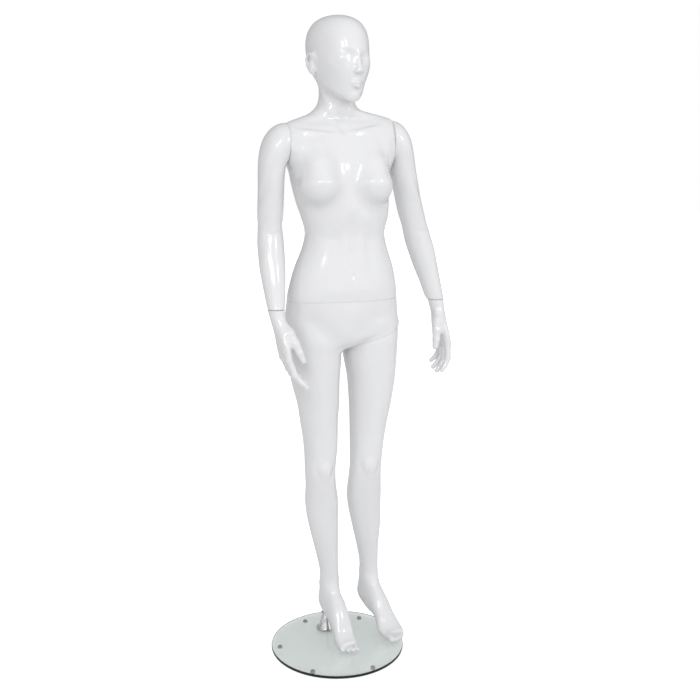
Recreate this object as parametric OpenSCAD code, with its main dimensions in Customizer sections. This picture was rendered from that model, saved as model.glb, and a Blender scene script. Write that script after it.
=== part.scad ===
// Full body mannequin on a round glass base.
// Millimetres, +Z up. The origin is on the floor under the centre of the base.
// The figure faces -Y, so its left side is +X. The station tables hold a figure of the
// standard height, measured from the top of the glass.

/* [Figure] */
// Height of the figure, from the top of the glass to the crown
figure_h = 1740; // [1450:10:2090]
// Thickness of the moulded skin
skin = 3; // [2:0.1:4]
// Open gap at each parting line
seam = 1.2; // [0.8:0.1:2]
// Fullness of the bust
bust = 40; // [20:1:50]

/* [Base] */
// Diameter of the glass disc
base_d = 380; // [315:5:460]
// Thickness of the glass disc
glass_t = 8; // [6:1:12]
// Height of the clear bumpers under the glass
bumper_h = 6; // [5.5:0.5:9]
// Number of clear bumpers
bumper_n = 6; // [3:1:10]

/* [Spigot] */
// Diameter of the spigot rod
spigot_d = 10; // [8:0.1:12]
// Diameter of the foot of the chrome cone
cone_d = 57; // [50:1:64]
// Height of the chrome cone above the glass
cone_h = 58; // [48:1:59]
// Height of the spigot's tip above the glass
spigot_top = 132; // [105:1:140]
// Running clearance round the spigot and the studs
clearance = 0.3; // [0.2:0.05:0.5]

/* [Fittings] */
// Diameter of the fitting plates at the shoulders and the thigh
fitting_d = 54; // [44:1:65]
// Diameter of the wrist fitting plates
wrist_d = 28; // [23:1:34]
// Thickness of the steel fitting plates
plate_t = 2; // [1.5:0.5:3]
// Diameter of the bayonet studs
stud_d = 10; // [8:1:12]

/* [Hidden] */

standard_h = 1740;
k = figure_h / standard_h;
glass_top = bumper_h + glass_t;
wall = skin * k;
gap_t = seam * k;
eps = 0.01;
white = "#ececf1";
steel = "#b9bcc2";
chrome = "#d8dade";

// Parting planes and axes, in standard figure coordinates
mid_x = 24;
shoulder_half = 148;
waist_z = 998;
waist_at = [31, 35];
shoulder_y = 42;
shoulder_z = [1412, 1424];
wrist_z = [984, 982];
thigh_at = [115, 36, 893];
thigh_tilt = 16;
spigot_at = [-2, 90];

// Fittings and fasteners
seat_step = 0.5;
screw_d = 4;
screw_n = 3;
screw_ring = fitting_d / 2 - 5;
key_w = 5;
key_t = 3;
key_reach = 2;
waist_stud_d = 14;
waist_hole_r = 55;
pin_d = 7;
pin_len = 22;
heel_socket_d = 17;
heel_socket_bottom = 62.5;
heel_socket_top = spigot_top + 6;
tip_gap = 0.05;
rod_bottom = 20;
gasket_t = 1;
lip_t = 2.5;
collar_d = 17;
collar_h = 12;
set_z = cone_h - 6;
set_d = 4;
set_head_d = 7;
bolt_d = 10;
bolt_reach = 18;
bolt_head_t = 3.6;
washer_t = 1.4;
bevel = 0.8;

// ---- Shape tools -------------------------------------------------------------

function spline(a, b, c, d, t) =
    0.5 * (2 * b + (c - a) * t + (2 * a - 5 * b + 4 * c - d) * t * t
    + (3 * b - a - 3 * c + d) * t * t * t);

// Stations with m - 1 smooth ones added between each pair
function refine(s, m) = let (n = len(s) - 1) [
    for (i = [0:n - 1]) for (j = [0:m - 1])
        spline(s[max(i - 1, 0)], s[i], s[i + 1], s[min(i + 2, n)], j / m),
    s[n]];

function signed_pow(v, e) = sign(v) * pow(abs(v), e);

// One station is [x, y, z, roll, pitch, yaw, half width, front, back, fullness]
function ring(s, n, inset) = let (
    cy = cos(s[5]), sy = sin(s[5]),
    u = [cos(s[3]) * cy, cos(s[3]) * sy, sin(s[3])],
    v = [-sy * cos(s[4]), cy * cos(s[4]), sin(s[4])],
    e = 2 / s[9]) [
    for (i = [0:n - 1]) let (t = 360 * i / n, c = signed_pow(cos(t), e), q = signed_pow(sin(t), e))
        [s[0], s[1], s[2]] + u * c * max(s[6] - inset, 0.5)
        + v * q * max((q < 0 ? s[7] : s[8]) - inset, 0.5)];

// A soft swelling: [centre, spread, push]
function swell(p, list) = p + [for (axis = [0:2]) sum_push(p, list, axis)];
function sum_push(p, list, axis) = len(list) == 0 ? 0
    : [for (b = list) 1] * [for (b = list) let (
        d = [for (i = [0:2]) (p[i] - b[0][i]) / b[1][i]]) b[2][axis] * exp(-d * d)];

function clamp_x(p, lo, hi) = [min(max(p[0], lo), hi), p[1], p[2]];

// A closed skin through a list of rings
module skin_solid(rings) {
    n = len(rings[0]);
    m = len(rings);
    polyhedron(
        points = [for (r = rings) each r],
        faces = [
            [for (i = [n - 1:-1:0]) i],
            [for (i = [0:n - 1]) (m - 1) * n + i],
            for (j = [0:m - 2]) for (i = [0:n - 1]) let (
                a = j * n + i, b = j * n + (i + 1) % n, c = a + n, d = b + n)
                each [[a, b, c], [b, d, c]]],
        convexity = 10);
}

// A limb or body solid through stations that run upwards or downwards
module loft(stations, m, n, inset = 0, swells = [], lo = -1e4, hi = 1e4) {
    rings = [for (s = refine(stations, m)) [for (p = ring(s, n, inset)) clamp_x(swell(p, swells), lo, hi)]];
    up = stations[len(stations) - 1][2] > stations[0][2];
    skin_solid(up ? [for (i = [len(rings) - 1:-1:0]) rings[i]] : rings);
}

// Joins overlapping skins into one closed skin
module moulded() resize([0, 0, 0]) children();

// ---- Figure stations ---------------------------------------------------------

function flat(z, x, y, a, f, b, n) = [x, y, z, 0, 0, 0, a, f, b, n];
// The left shoulder stands a little higher than the right
shoulder_lean = 2.5;
function lean(z, x, y, a, f, b, n) = [x, y, z, shoulder_lean, 0, 0, a, f, b, n];

torso_s = [
    flat(waist_z, 31, 35, 157, 88, 88, 2.2), flat(1046, 33, 34, 150, 86, 82, 2.2),
    flat(1090, 35, 34, 138, 82, 76, 2.2), flat(1133, 37, 34, 121.5, 77, 72, 2.15),
    flat(1176, 38, 34, 112, 74, 70, 2.15), flat(1219, 38, 34, 121, 78, 76, 2.2),
    flat(1256, 33, 34, 129, 80, 84, 2.2), flat(1301, 28, 34, 136, 80, 92, 2.2),
    flat(1345, 26, 36, 143, 78, 96, 2.2), flat(1375, 24, 38, 158, 74, 92, 2.3),
    flat(1400, 22, 40, 174, 68, 86, 2.3), lean(1426, 24, 42, 178, 60, 76, 2.4),
    lean(1450, 26, 42, 172, 50, 64, 2.4), lean(1466, 29, 43, 158, 42, 54, 2.3),
    lean(1476, 31, 44, 140, 38, 48, 2.1), lean(1485, 30, 45, 110, 40, 46, 2),
    lean(1493, 24, 46, 82, 43, 45, 2), flat(1503, 21, 46, 62, 45, 44, 2),
    flat(1515, 19, 46, 52, 46, 44, 2), flat(1532, 18, 43, 47, 47, 45, 2),
    flat(1552, 17, 38, 47, 48, 47, 2), flat(1590, 17, 34, 46, 46, 46, 2)];

head_yaw = 22;
function head(z, w, a, f, b, n) =
    [17 + w * sin(head_yaw), 28 - w * cos(head_yaw), z, 0, 0, head_yaw, a, f, b, n];
head_s = [
    head(1516, 62, 10, 9, 8, 2), head(1522, 52, 25, 25, 24, 2), head(1535, 36, 40, 44, 42, 2.1),
    head(1552, 20, 50, 65, 52, 2.1), head(1570, 10, 57, 80, 58, 2.1), head(1590, 4, 63, 87, 68, 2.1),
    head(1612, 1, 68, 92, 80, 2.1), head(1640, -2, 72, 96, 90, 2.1), head(1668, -4, 74, 96, 93, 2.05),
    head(1694, -5, 70, 90, 88, 2), head(1716, -6, 59, 74, 74, 2), head(1731, -6, 41, 50, 52, 2),
    head(1738, -6, 22, 27, 30, 2), head(1740, -6, 5, 6, 7, 2)];
face_swells = [
    [head(1600, 96, 0, 0, 0, 0), 11, 17],
    [head(1634, 92, 0, 0, 0, 0), 9, 5],
    [head(1650, 90, 0, 0, 0, 0), 26, 3]];
head_swells = [for (f = face_swells) [
    [f[0][0], f[0][1], f[0][2]], [f[1], f[1] * 1.6, f[1] * 1.3],
    f[2] * [sin(head_yaw), -cos(head_yaw), 0]]];
body_swells = [
    [[-46, -44, 1296], [52, 60, 44], [-4, -bust, 2]],
    [[100, -44, 1296], [52, 60, 44], [4, -bust, 2]]];

seat_swells = [
    [[-46, 112, 908], [54, 44, 54], [0, 11, 0]],
    [[112, 112, 908], [54, 44, 54], [0, 11, 0]]];

// Outward distance first: arms are drawn for the left side and mirrored for the right
function arm(o, y, z, r, a, f, b, n = 2) = [o, y, z, r, 0, 0, a, f, b, n];
right_arm_s = [
    arm(0, 42, shoulder_z[0], 90, 54, 46, 52, 2.2), arm(15, 42, 1408, 75, 52, 48, 52, 2.15),
    arm(29, 42, 1391, 55, 46, 48, 50, 2.1), arm(37, 43, 1367, 32, 39, 46, 47),
    arm(40, 44, 1334, 10, 35, 42, 44), arm(40.5, 46, 1301, 0, 34, 40, 42),
    arm(42, 50, 1240, 0, 34, 37, 40), arm(43, 53, 1197, 0, 32.5, 34, 37),
    arm(43.5, 49, 1155, 0, 35.5, 35, 36), arm(46, 28, 1092, 0, 34.5, 33, 34),
    arm(48, 10, 1048, 0, 30.5, 29, 29), arm(51, -12, 1005, 0, 25.5, 24, 24),
    arm(53, -23, wrist_z[0], 0, 22, 21, 21)];
left_arm_s = [
    arm(0, 42, shoulder_z[1], 90, 54, 46, 52, 2.2), arm(16, 42, 1419, 75, 51, 48, 52, 2.15),
    arm(29, 42, 1401, 55, 44, 48, 50, 2.1), arm(37, 44, 1375, 35, 38, 46, 47),
    arm(45, 47, 1337, 18, 35.5, 42, 44), arm(55, 50, 1301, 12, 35, 40, 42),
    arm(73, 58, 1240, 12, 35, 37, 40), arm(88, 62, 1197, 14, 35, 34, 37),
    arm(101, 64, 1155, 15, 37, 35, 36), arm(119, 56, 1090, 15, 34, 33, 34),
    arm(131, 48, 1046, 15, 30, 29, 29), arm(141, 40, 1002, 12, 26.5, 25, 25),
    arm(147, 36, wrist_z[1], 0, 24, 22, 22)];

hips_s = [
    flat(waist_z, 31, 35, 157, 88, 88, 2.2), flat(955, 31, 37, 161, 90, 98, 2.2),
    [33, 38, 918, 4, 0, 0, 165, 90, 106, 2.2], [34, 38, 890, 11, 0, 0, 163, 84, 102, 2.2],
    [thigh_at[0] - 78, 38, thigh_at[2] - 78 * tan(thigh_tilt), thigh_tilt, 0, 0, 144, 64, 84, 2.1]];
left_stub_s = [
    [108, 37, 940, 4, 0, 0, 70, 60, 80, 2.1],
    [thigh_at[0], thigh_at[1], thigh_at[2], thigh_tilt, 0, 0, 80, 75, 81, 2.1]];
left_leg_s = [
    [thigh_at[0], thigh_at[1], thigh_at[2], thigh_tilt, 0, 0, 80, 75, 81, 2.1],
    [115, 36, 845, 8, 0, 0, 76, 76, 78, 2.1], flat(777, 117, 34, 68, 70, 70, 2.05),
    flat(709, 114, 32, 61, 63, 62, 2), flat(663, 109, 30, 55.5, 58, 56, 2),
    flat(616, 103, 26, 50.5, 53, 50, 2), flat(569, 98, 22, 47, 50, 46, 2),
    flat(522, 94, 18, 45, 49, 42, 2), flat(474, 94, 24, 47.5, 45, 44, 2),
    flat(427, 98, 36, 50, 43, 52, 2), flat(379, 105, 48, 47, 41, 51, 2),
    flat(330, 114, 58, 43, 38, 46, 2), flat(257, 124, 71, 33, 31, 36, 2),
    flat(206, 131, 79, 28, 28, 30, 2)];
right_leg_s = [
    flat(940, -48, 37, 62, 56, 72, 2.1), flat(880, -54, 37, 77, 72, 80, 2.1),
    flat(830, -53, 36, 75, 75, 78, 2.1), flat(777, -50, 34, 67, 70, 70, 2.05),
    flat(709, -43, 31, 58, 62, 61, 2), flat(663, -42, 29, 53, 57, 55, 2),
    flat(616, -40, 26, 49, 52, 50, 2), flat(569, -40, 24, 45.5, 48, 46, 2),
    flat(522, -42, 22, 43, 47, 42, 2), flat(474, -38, 28, 43, 43, 44, 2),
    flat(427, -32, 38, 47, 42, 50, 2), flat(379, -27, 45, 45.5, 39, 50, 2),
    flat(330, -20, 52, 41, 37, 44, 2), flat(257, -8, 62, 33, 31, 34, 2),
    flat(206, 0, 69, 28, 28, 29, 2)];

// The raised foot fans round from the ankle to the toes; y and z from the ankle's plan centre
function foot(at, yaw, y, z, pitch, a, f, b, n) =
    [at[0] - (y - at[1]) * sin(yaw), at[1] + (y - at[1]) * cos(yaw), z, 0, pitch, yaw, a, f, b, n];
function foot_s(at, yaw) = [
    foot(at, yaw, at[1], 170, 0, 27.5, 27, 27, 2), foot(at, yaw, at[1], 140, -15, 28, 34, 35, 2),
    foot(at, yaw, at[1] - 2, 106, -35, 28, 48, 49, 2.2), foot(at, yaw, at[1] - 30, 84, -55, 29, 42, 42, 2.2),
    foot(at, yaw, at[1] - 58, 67.5, -68, 30, 33, 33, 2.2), foot(at, yaw, at[1] - 82, 44, -75, 35.5, 30, 30, 2.2),
    foot(at, yaw, at[1] - 107, 23, -83, 38.5, 21, 21.5, 2.4), foot(at, yaw, at[1] - 130, 14.5, -90, 37, 13, 13, 2.6),
    foot(at, yaw, at[1] - 148, 11, -90, 31, 9.5, 9.5, 2.6), foot(at, yaw, at[1] - 160, 10, -90, 17, 5, 5, 2.2)];
right_ankle = [3, 72];
left_ankle = [134, 84];
right_limb_s = concat(right_leg_s, foot_s(right_ankle, 4));
left_limb_s = concat(left_leg_s, foot_s(left_ankle, 8));

// ---- Hands -------------------------------------------------------------------

// A hand hangs from its wrist plane: thumb towards +X, palm towards -Y
palm_s = [
    flat(0, 0, 0, 22, 22.5, 22.5, 2), flat(-34, 0, 0, 23, 19, 19, 2.1),
    flat(-64, 1, 0, 32, 18, 15, 2.3), flat(-94, 1, 0, 38.5, 15, 13, 2.5),
    flat(-116, 0, 0, 39, 11.5, 11, 2.7), flat(-128, 0, 0, 36, 8.5, 9, 2.7)];
digit_r = [8.8, 9, 8.6, 7.6];
digit_x = [28.5, 9.5, -9.5, -27];
digit_len = [96, 106, 100, 80];
digit_bend = [16, 21, 25, 29];
thumb_r = 12.5;

// A finger of three bones, each bent further towards the palm
module digit(x, r, l, bend) {
    p0 = [x * 0.94, 1, -106];
    p1 = [x, 0, -126];
    p2 = p1 + 0.46 * l * [0, -sin(bend), -cos(bend)];
    p3 = p2 + 0.3 * l * [0, -sin(2.2 * bend), -cos(2.2 * bend)];
    p4 = p3 + 0.19 * l * [0, -sin(2.9 * bend), -cos(2.9 * bend)];
    p5 = p3 + 0.24 * l * [0, -sin(2.9 * bend), -cos(2.9 * bend)];
    path = [p0, p1, p2, p3, p4, p5];
    size = [1, 1, 0.94, 0.8, 0.6, 0.15] * r;
    tip = -min(2.4 * bend, 62);
    tilt = [0, 0, tip / 3, tip * 0.75, tip, tip];
    loft([for (i = [0:5]) [path[i][0], path[i][1], path[i][2], 0, -tilt[i], 0,
        size[i], size[i] * 0.9, size[i] * 0.95, 2]], 1, 8);
}
module thumb() {
    path = [[10, -3, -36], [20, -17, -64], [24, -30, -92], [25, -37, -119], [22, -43, -143], [21, -45, -151]];
    size = [0.9, 1.1, 1, 0.84, 0.7, 0.15] * thumb_r;
    loft([for (i = [0:5]) [path[i][0], path[i][1], path[i][2], 0, 22, 0, size[i] * 0.85, size[i], size[i], 2]],
        1, 10);
}
module hand_solid() {
    loft(palm_s, 2, 18);
    for (i = [0:3])
        digit(digit_x[i], digit_r[i], digit_len[i], digit_bend[i]);
    thumb();
}

// ---- Placing -----------------------------------------------------------------

// The real position of a point given in standard figure coordinates
function real(p) = [p[0] * k, p[1] * k, glass_top + p[2] * k];
// side is 0 for the right and 1 for the left
side_sign = [-1, 1];
function wrist(side, s) = [mid_x + side_sign[side] * (shoulder_half + seam + s[0]), s[1], s[2]];
right_wrist = wrist(0, right_arm_s[len(right_arm_s) - 1]);
left_wrist = wrist(1, left_arm_s[len(left_arm_s) - 1]);
hand_lean = [[0.13, -0.2], [0.17, -0.1]];

module at_wrist(side) translate(real(side == 0 ? right_wrist : left_wrist)) children();
// Along +X, out of the shoulder's parting plane
module at_shoulder(side)
    translate(real([mid_x + side_sign[side] * shoulder_half, shoulder_y, shoulder_z[side]]))
    mirror([1 - side, 0, 0]) rotate([0, 90, 0]) children();
// Along +Z, up out of the left leg
module at_thigh() translate(real(thigh_at)) rotate([0, -thigh_tilt, 0]) children();
module at_waist() translate(real([waist_at[0], waist_at[1], waist_z])) children();
module at_spigot() translate([spigot_at[0] * k, spigot_at[1] * k, glass_top]) children();

module around(n, r) for (i = [0:n - 1]) rotate([0, 0, 360 * i / n + 45]) translate([r, 0, 0]) children();

// ---- Moulded pieces ----------------------------------------------------------

function lerp(a, b, t) = a + (b - a) * t;
function facing(s) = cross(
    [cos(s[3]) * cos(s[5]), cos(s[3]) * sin(s[5]), sin(s[3])],
    [-sin(s[5]) * cos(s[4]), cos(s[5]) * cos(s[4]), sin(s[4])]);
// An end station moved inwards by the skin's thickness, square to its own plane
function end_in(a, b, wall) = let (
    s = lerp(a, b, wall / abs([for (i = [0:2]) b[i] - a[i]] * facing(a))))
    [s[0], s[1], s[2], a[3], a[4], a[5], s[6], s[7], s[8], s[9]];
// The same stations with both ends drawn in, for an end wall that the plate's seat is sunk in
function drawn_in(s) = let (n = len(s) - 1, wall = skin + seat_step) [for (i = [0:n])
    i == 0 ? end_in(s[0], s[1], wall) : i == n ? end_in(s[n], s[n - 1], wall) : s[i]];

// The inner face of a skin has fewer, longer facets than the outer face
inner_n = 16;
function trimmed(s, first, last) = [for (i = [first:len(s) - 1 - last]) s[i]];

module hollow(stations, m, n, swells = []) difference() {
    loft(stations, m, n, 0, swells);
    loft(drawn_in(stations), 1, inner_n, skin, swells);
}
// Opens a skin that ends on a level plane
module mouth(station, n, depth) translate([0, 0, station[2] - depth]) linear_extrude(2 * depth)
    polygon([for (p = ring(station, n, skin)) [p[0], p[1]]]);

module torso_solid(inset) {
    half = shoulder_half - (inset > 0 ? inset + seat_step : 0);
    loft(inset > 0 ? drawn_in(torso_s) : torso_s, inset > 0 ? 1 : 2, inset > 0 ? inner_n : 26,
        inset, body_swells, mid_x - half, mid_x + half);
    loft(inset > 0 ? trimmed(head_s, 1, 2) : head_s, 1, inset > 0 ? inner_n : 24, inset, head_swells);
}
module screw_holes(d, n, r) around(n, r) cylinder(d = d, h = 4 * skin, center = true, $fn = 16);
// The holes for a stud and its screws, and the seat that its plate lies in
module fitting_cut(seat) {
    cylinder(d = stud_d * 2.4, h = 4 * skin, center = true, $fn = 32);
    screw_holes(screw_d + 2 * clearance, screw_n, screw_ring);
    translate([0, 0, seat]) cylinder(d = fitting_d + 2 * clearance, h = plate_t + clearance, $fn = 48);
}
module torso() color(white) moulded() difference() {
    translate([0, 0, glass_top]) scale(k) difference() {
        torso_solid(0);
        torso_solid(skin);
        mouth(torso_s[0], inner_n, 2 * skin);
        translate([-400, -400, waist_z - 50]) cube([800, 800, 50 + seam]);
    }
    for (side = [0, 1]) at_shoulder(side) fitting_cut(-wall - plate_t - clearance);
}

module arm_skin(side) moulded() difference() {
    translate([0, 0, glass_top]) scale(k) translate([mid_x + side_sign[side] * (shoulder_half + seam), 0, 0])
        mirror([1 - side, 0, 0]) hollow(side == 0 ? right_arm_s : left_arm_s, 2, 18);
    at_shoulder(side) fitting_cut(gap_t + wall);
    at_wrist(side) {
        cylinder(d = wrist_d - 8, h = 4 * skin, center = true, $fn = 24);
        translate([0, 0, wall]) cylinder(d = wrist_d + 2 * clearance, h = plate_t + clearance, $fn = 32);
    }
}
module right_arm() color(white) arm_skin(0);
module left_arm() color(white) arm_skin(1);

// Each hand leans from its level wrist plane, inwards on the right and outwards on the left
module hand(side) moulded() at_wrist(side) translate([0, 0, -gap_t]) difference() {
    scale(k) multmatrix([[1, 0, -hand_lean[side][0]], [0, 1, -hand_lean[side][1]], [0, 0, 1]])
        rotate([0, 0, side == 0 ? 90 : -90]) mirror([1 - side, 0, 0]) hand_solid();
    translate([0, 0, -plate_t]) cylinder(d = wrist_d + 2 * clearance, h = 20, $fn = 32);
    translate([0, 0, -pin_len]) cylinder(d = pin_d + 2 * clearance, h = pin_len * 2, $fn = 24);
}
module right_hand() color(white) hand(0);
module left_hand() color(white) hand(1);

module heel_bore(d) at_spigot() translate([0, 0, 20]) cylinder(d = d, h = heel_socket_top - 20, $fn = 32);
module lower_solid(inset) {
    n = inset > 0 ? inner_n : 24;
    loft(inset > 0 ? drawn_in(hips_s) : hips_s, 2, n, inset, seat_swells);
    loft(inset > 0 ? drawn_in(left_stub_s) : left_stub_s, 1, n, inset, seat_swells);
    loft(inset > 0 ? drawn_in(right_limb_s) : right_limb_s, 1, n, inset, seat_swells);
}
module lower_body() color(white) moulded() difference() {
    translate([0, 0, glass_top]) scale(k) difference() {
        lower_solid(0);
        lower_solid(skin);
        mouth(hips_s[0], inner_n, 2 * skin);
    }
    heel_bore(heel_socket_d + 2 * clearance);
    at_thigh() fitting_cut(wall);
}
module left_leg() color(white) moulded() difference() {
    translate(seam * [sin(thigh_tilt), 0, -cos(thigh_tilt)]) translate([0, 0, glass_top]) scale(k)
        hollow(left_limb_s, 1, 24, seat_swells);
    at_thigh() fitting_cut(-gap_t - wall - plate_t - clearance);
}

// ---- Waist fitting -----------------------------------------------------------

module waist_outline() scale(k) polygon([for (p = ring(torso_s[0], inner_n, skin + 1)) [p[0], p[1]]]);
// Slot that the bayonet key passes through before it is turned home
module keyhole(d) {
    circle(d = d + 2 * clearance, $fn = 48);
    square([d * key_reach + 2 * clearance, key_w + 2 * clearance], center = true);
}
module waist_top_plate() color(steel) translate([0, 0, glass_top + waist_z * k + gap_t])
    linear_extrude(plate_t) difference() {
        waist_outline();
        translate(waist_at * k) rotate(90) keyhole(waist_stud_d);
        translate(waist_at * k) around(4, waist_hole_r) circle(d = 34, $fn = 48);
    }
module waist_bottom_plate() color(steel) translate([0, 0, glass_top + waist_z * k - plate_t])
    linear_extrude(plate_t) difference() {
        waist_outline();
        translate(waist_at * k) circle(d = waist_stud_d + 2 * clearance, $fn = 48);
        translate(waist_at * k) around(screw_n, waist_stud_d * 1.5)
            circle(d = screw_d + 2 * clearance, $fn = 24);
    }
// Bayonet: a flange under its own plate, a round post, and a key that locks over the facing plate
module bayonet(d, flange_d, under, over, screw_r, n) {
    translate([0, 0, -under - plate_t]) difference() {
        cylinder(d = flange_d, h = plate_t, $fn = 64);
        translate([0, 0, plate_t / 2]) around(n, screw_r)
            cylinder(d = screw_d + 2 * clearance, h = 2 * plate_t, center = true, $fn = 24);
    }
    translate([0, 0, -under - eps]) cylinder(d = d, h = under + over + key_t, $fn = 48);
    translate([-d * key_reach / 2, -key_w / 2, over + clearance]) cube([d * key_reach, key_w, key_t]);
}
module waist_stud() color(steel) at_waist()
    bayonet(waist_stud_d, waist_stud_d * 4, plate_t, gap_t + plate_t, waist_stud_d * 1.5, screw_n);

// ---- Limb fittings -----------------------------------------------------------

// A round plate against the inside of a wall, with a keyhole and its screw holes
module socket_plate(d, post_d, screws) translate([0, 0, -wall - plate_t]) linear_extrude(plate_t) difference() {
    circle(d = d, $fn = 64);
    rotate(90) keyhole(post_d);
    if (screws > 0) around(screws, screw_ring) circle(d = screw_d + 2 * clearance, $fn = 24);
}
module shoulder_socket(side) at_shoulder(side) socket_plate(fitting_d, stud_d, screw_n);
module right_shoulder_socket() color(steel) shoulder_socket(0);
module left_shoulder_socket() color(steel) shoulder_socket(1);
module limb_plug() bayonet(stud_d, fitting_d, wall, gap_t + wall + plate_t, screw_ring, screw_n);
module shoulder_plug(side) at_shoulder(side) translate([0, 0, gap_t]) mirror([0, 0, 1]) limb_plug();
module right_shoulder_plug() color(steel) shoulder_plug(0);
module left_shoulder_plug() color(steel) shoulder_plug(1);
module thigh_socket() color(steel) at_thigh() mirror([0, 0, 1]) socket_plate(fitting_d, stud_d, screw_n);
module thigh_plug() color(steel) at_thigh() translate([0, 0, -gap_t]) limb_plug();

module wrist_socket(side) at_wrist(side) mirror([0, 0, 1]) socket_plate(wrist_d, pin_d, 0);
module right_wrist_socket() color(steel) wrist_socket(0);
module left_wrist_socket() color(steel) wrist_socket(1);
module wrist_plug(side) at_wrist(side) translate([0, 0, -gap_t]) {
    translate([0, 0, -plate_t]) cylinder(d = wrist_d, h = plate_t, $fn = 48);
    translate([0, 0, -pin_len + 1]) cylinder(d = pin_d, h = pin_len - 1 - eps, $fn = 32);
    translate([0, 0, -eps]) cylinder(d = pin_d, h = gap_t + wall + plate_t + key_t, $fn = 32);
    translate([-pin_d * key_reach / 2, -key_w / 2, gap_t + wall + plate_t + clearance])
        cube([pin_d * key_reach, key_w, key_t]);
}
module right_wrist_plug() color(steel) wrist_plug(0);
module left_wrist_plug() color(steel) wrist_plug(1);

// A pan-headed screw through a plate and a wall, with its head on the inside
module fixing(grip) {
    translate([0, 0, -screw_d * 0.6]) cylinder(d = screw_d * 1.9, h = screw_d * 0.6, $fn = 32);
    translate([0, 0, -eps]) cylinder(d = screw_d, h = grip, $fn = 24);
}
module fixings(grip) around(screw_n, screw_ring) fixing(grip);
module torso_screws() color(chrome) for (side = [0, 1])
    at_shoulder(side) translate([0, 0, -wall - plate_t]) fixings(wall + plate_t);
module arm_screws(side) at_shoulder(side) translate([0, 0, gap_t + wall + plate_t]) mirror([0, 0, 1])
    fixings(wall + plate_t);
module right_arm_screws() color(chrome) arm_screws(0);
module left_arm_screws() color(chrome) arm_screws(1);
module lower_screws() color(chrome) {
    at_thigh() translate([0, 0, wall + plate_t]) mirror([0, 0, 1]) fixings(wall + plate_t);
    at_waist() translate([0, 0, -2 * plate_t]) around(screw_n, waist_stud_d * 1.5) fixing(2 * plate_t);
}
module leg_screws() color(chrome) at_thigh() translate([0, 0, -gap_t - wall - plate_t])
    fixings(wall + plate_t);

// ---- Stand -------------------------------------------------------------------

module heel_socket() color(steel) at_spigot() difference() {
    translate([0, 0, heel_socket_bottom]) cylinder(d = heel_socket_d, h = heel_socket_top - heel_socket_bottom, $fn = 48);
    translate([0, 0, heel_socket_bottom - 1]) cylinder(d = spigot_d + 2 * clearance,
        h = spigot_top + tip_gap - heel_socket_bottom + 1, $fn = 48);
}
module spigot_rod() color(chrome) at_spigot() translate([0, 0, rod_bottom])
    rotate_extrude($fn = 48) polygon([[0, 0], [spigot_d / 2, 0], [spigot_d / 2, spigot_top - rod_bottom - 2],
        [spigot_d / 2 - 2, spigot_top - rod_bottom], [0, spigot_top - rod_bottom]]);
module chrome_cone() color(chrome) at_spigot() difference() {
    rotate_extrude($fn = 96) polygon([[0, gasket_t], [cone_d / 2, gasket_t], [cone_d / 2, gasket_t + lip_t],
        [cone_d / 2 - 3, gasket_t + lip_t], [cone_d / 2 - 7, gasket_t + lip_t + 3],
        [collar_d / 2, cone_h - collar_h], [collar_d / 2, cone_h], [0, cone_h]]);
    translate([0, 0, rod_bottom]) cylinder(d = spigot_d + 0.1, h = cone_h, $fn = 48);
    translate([0, 0, -1]) cylinder(d = bolt_d + 0.1, h = bolt_reach + 1, $fn = 48);
    translate([0, 0, set_z]) rotate([0, -90, 0]) cylinder(d = set_d + 0.2, h = collar_d, $fn = 32);
}
module set_screw() color(chrome) at_spigot() translate([-spigot_d / 2 - 0.1, 0, set_z]) rotate([0, -90, 0])
    difference() {
        union() {
            cylinder(d = set_d, h = (collar_d - spigot_d) / 2 + 1, $fn = 32);
            translate([0, 0, (collar_d - spigot_d) / 2 + 1 - eps]) cylinder(d = set_head_d, h = 4, $fn = 32);
        }
        translate([0, 0, (collar_d - spigot_d) / 2 + 2]) cylinder(d = 3, h = 4, $fn = 6);
    }
module gasket() color("#3a3d40") at_spigot() difference() {
    cylinder(d = cone_d - 2, h = gasket_t, $fn = 64);
    translate([0, 0, -1]) cylinder(d = bolt_d + 4, h = gasket_t + 2, $fn = 48);
}
module glass_disc() color("#b9cdc3", 0.5) translate([0, 0, bumper_h]) difference() {
    rotate_extrude($fn = 128) polygon([[0, 0], [base_d / 2 - bevel, 0], [base_d / 2, bevel],
        [base_d / 2, glass_t - bevel], [base_d / 2 - bevel, glass_t], [0, glass_t]]);
    translate([spigot_at[0] * k, spigot_at[1] * k, -1]) cylinder(d = bolt_d + 3, h = glass_t + 2, $fn = 48);
}
module bumpers() color("#dfe6e4", 0.7) around(bumper_n, base_d / 2 - 24)
    cylinder(d = 14, h = bumper_h, $fn = 32);
module base_washer() color(steel) at_spigot() translate([0, 0, -glass_t - washer_t]) difference() {
    cylinder(d = 34, h = washer_t, $fn = 48);
    translate([0, 0, -1]) cylinder(d = bolt_d + 0.6, h = washer_t + 2, $fn = 48);
}
module base_bolt() color(chrome) at_spigot() {
    translate([0, 0, -glass_t - washer_t - bolt_head_t]) cylinder(d = 18, h = bolt_head_t, $fn = 48);
    translate([0, 0, -glass_t - washer_t - eps]) cylinder(d = bolt_d, h = glass_t + washer_t + bolt_reach - 1,
        $fn = 48);
}

torso();
torso_screws();
right_arm();
right_arm_screws();
left_arm();
left_arm_screws();
right_hand();
left_hand();
lower_body();
lower_screws();
left_leg();
leg_screws();
waist_top_plate();
waist_bottom_plate();
waist_stud();
right_shoulder_socket();
left_shoulder_socket();
right_shoulder_plug();
left_shoulder_plug();
right_wrist_socket();
left_wrist_socket();
right_wrist_plug();
left_wrist_plug();
thigh_socket();
thigh_plug();
heel_socket();
glass_disc();
bumpers();
gasket();
chrome_cone();
spigot_rod();
set_screw();
base_washer();
base_bolt();
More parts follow.
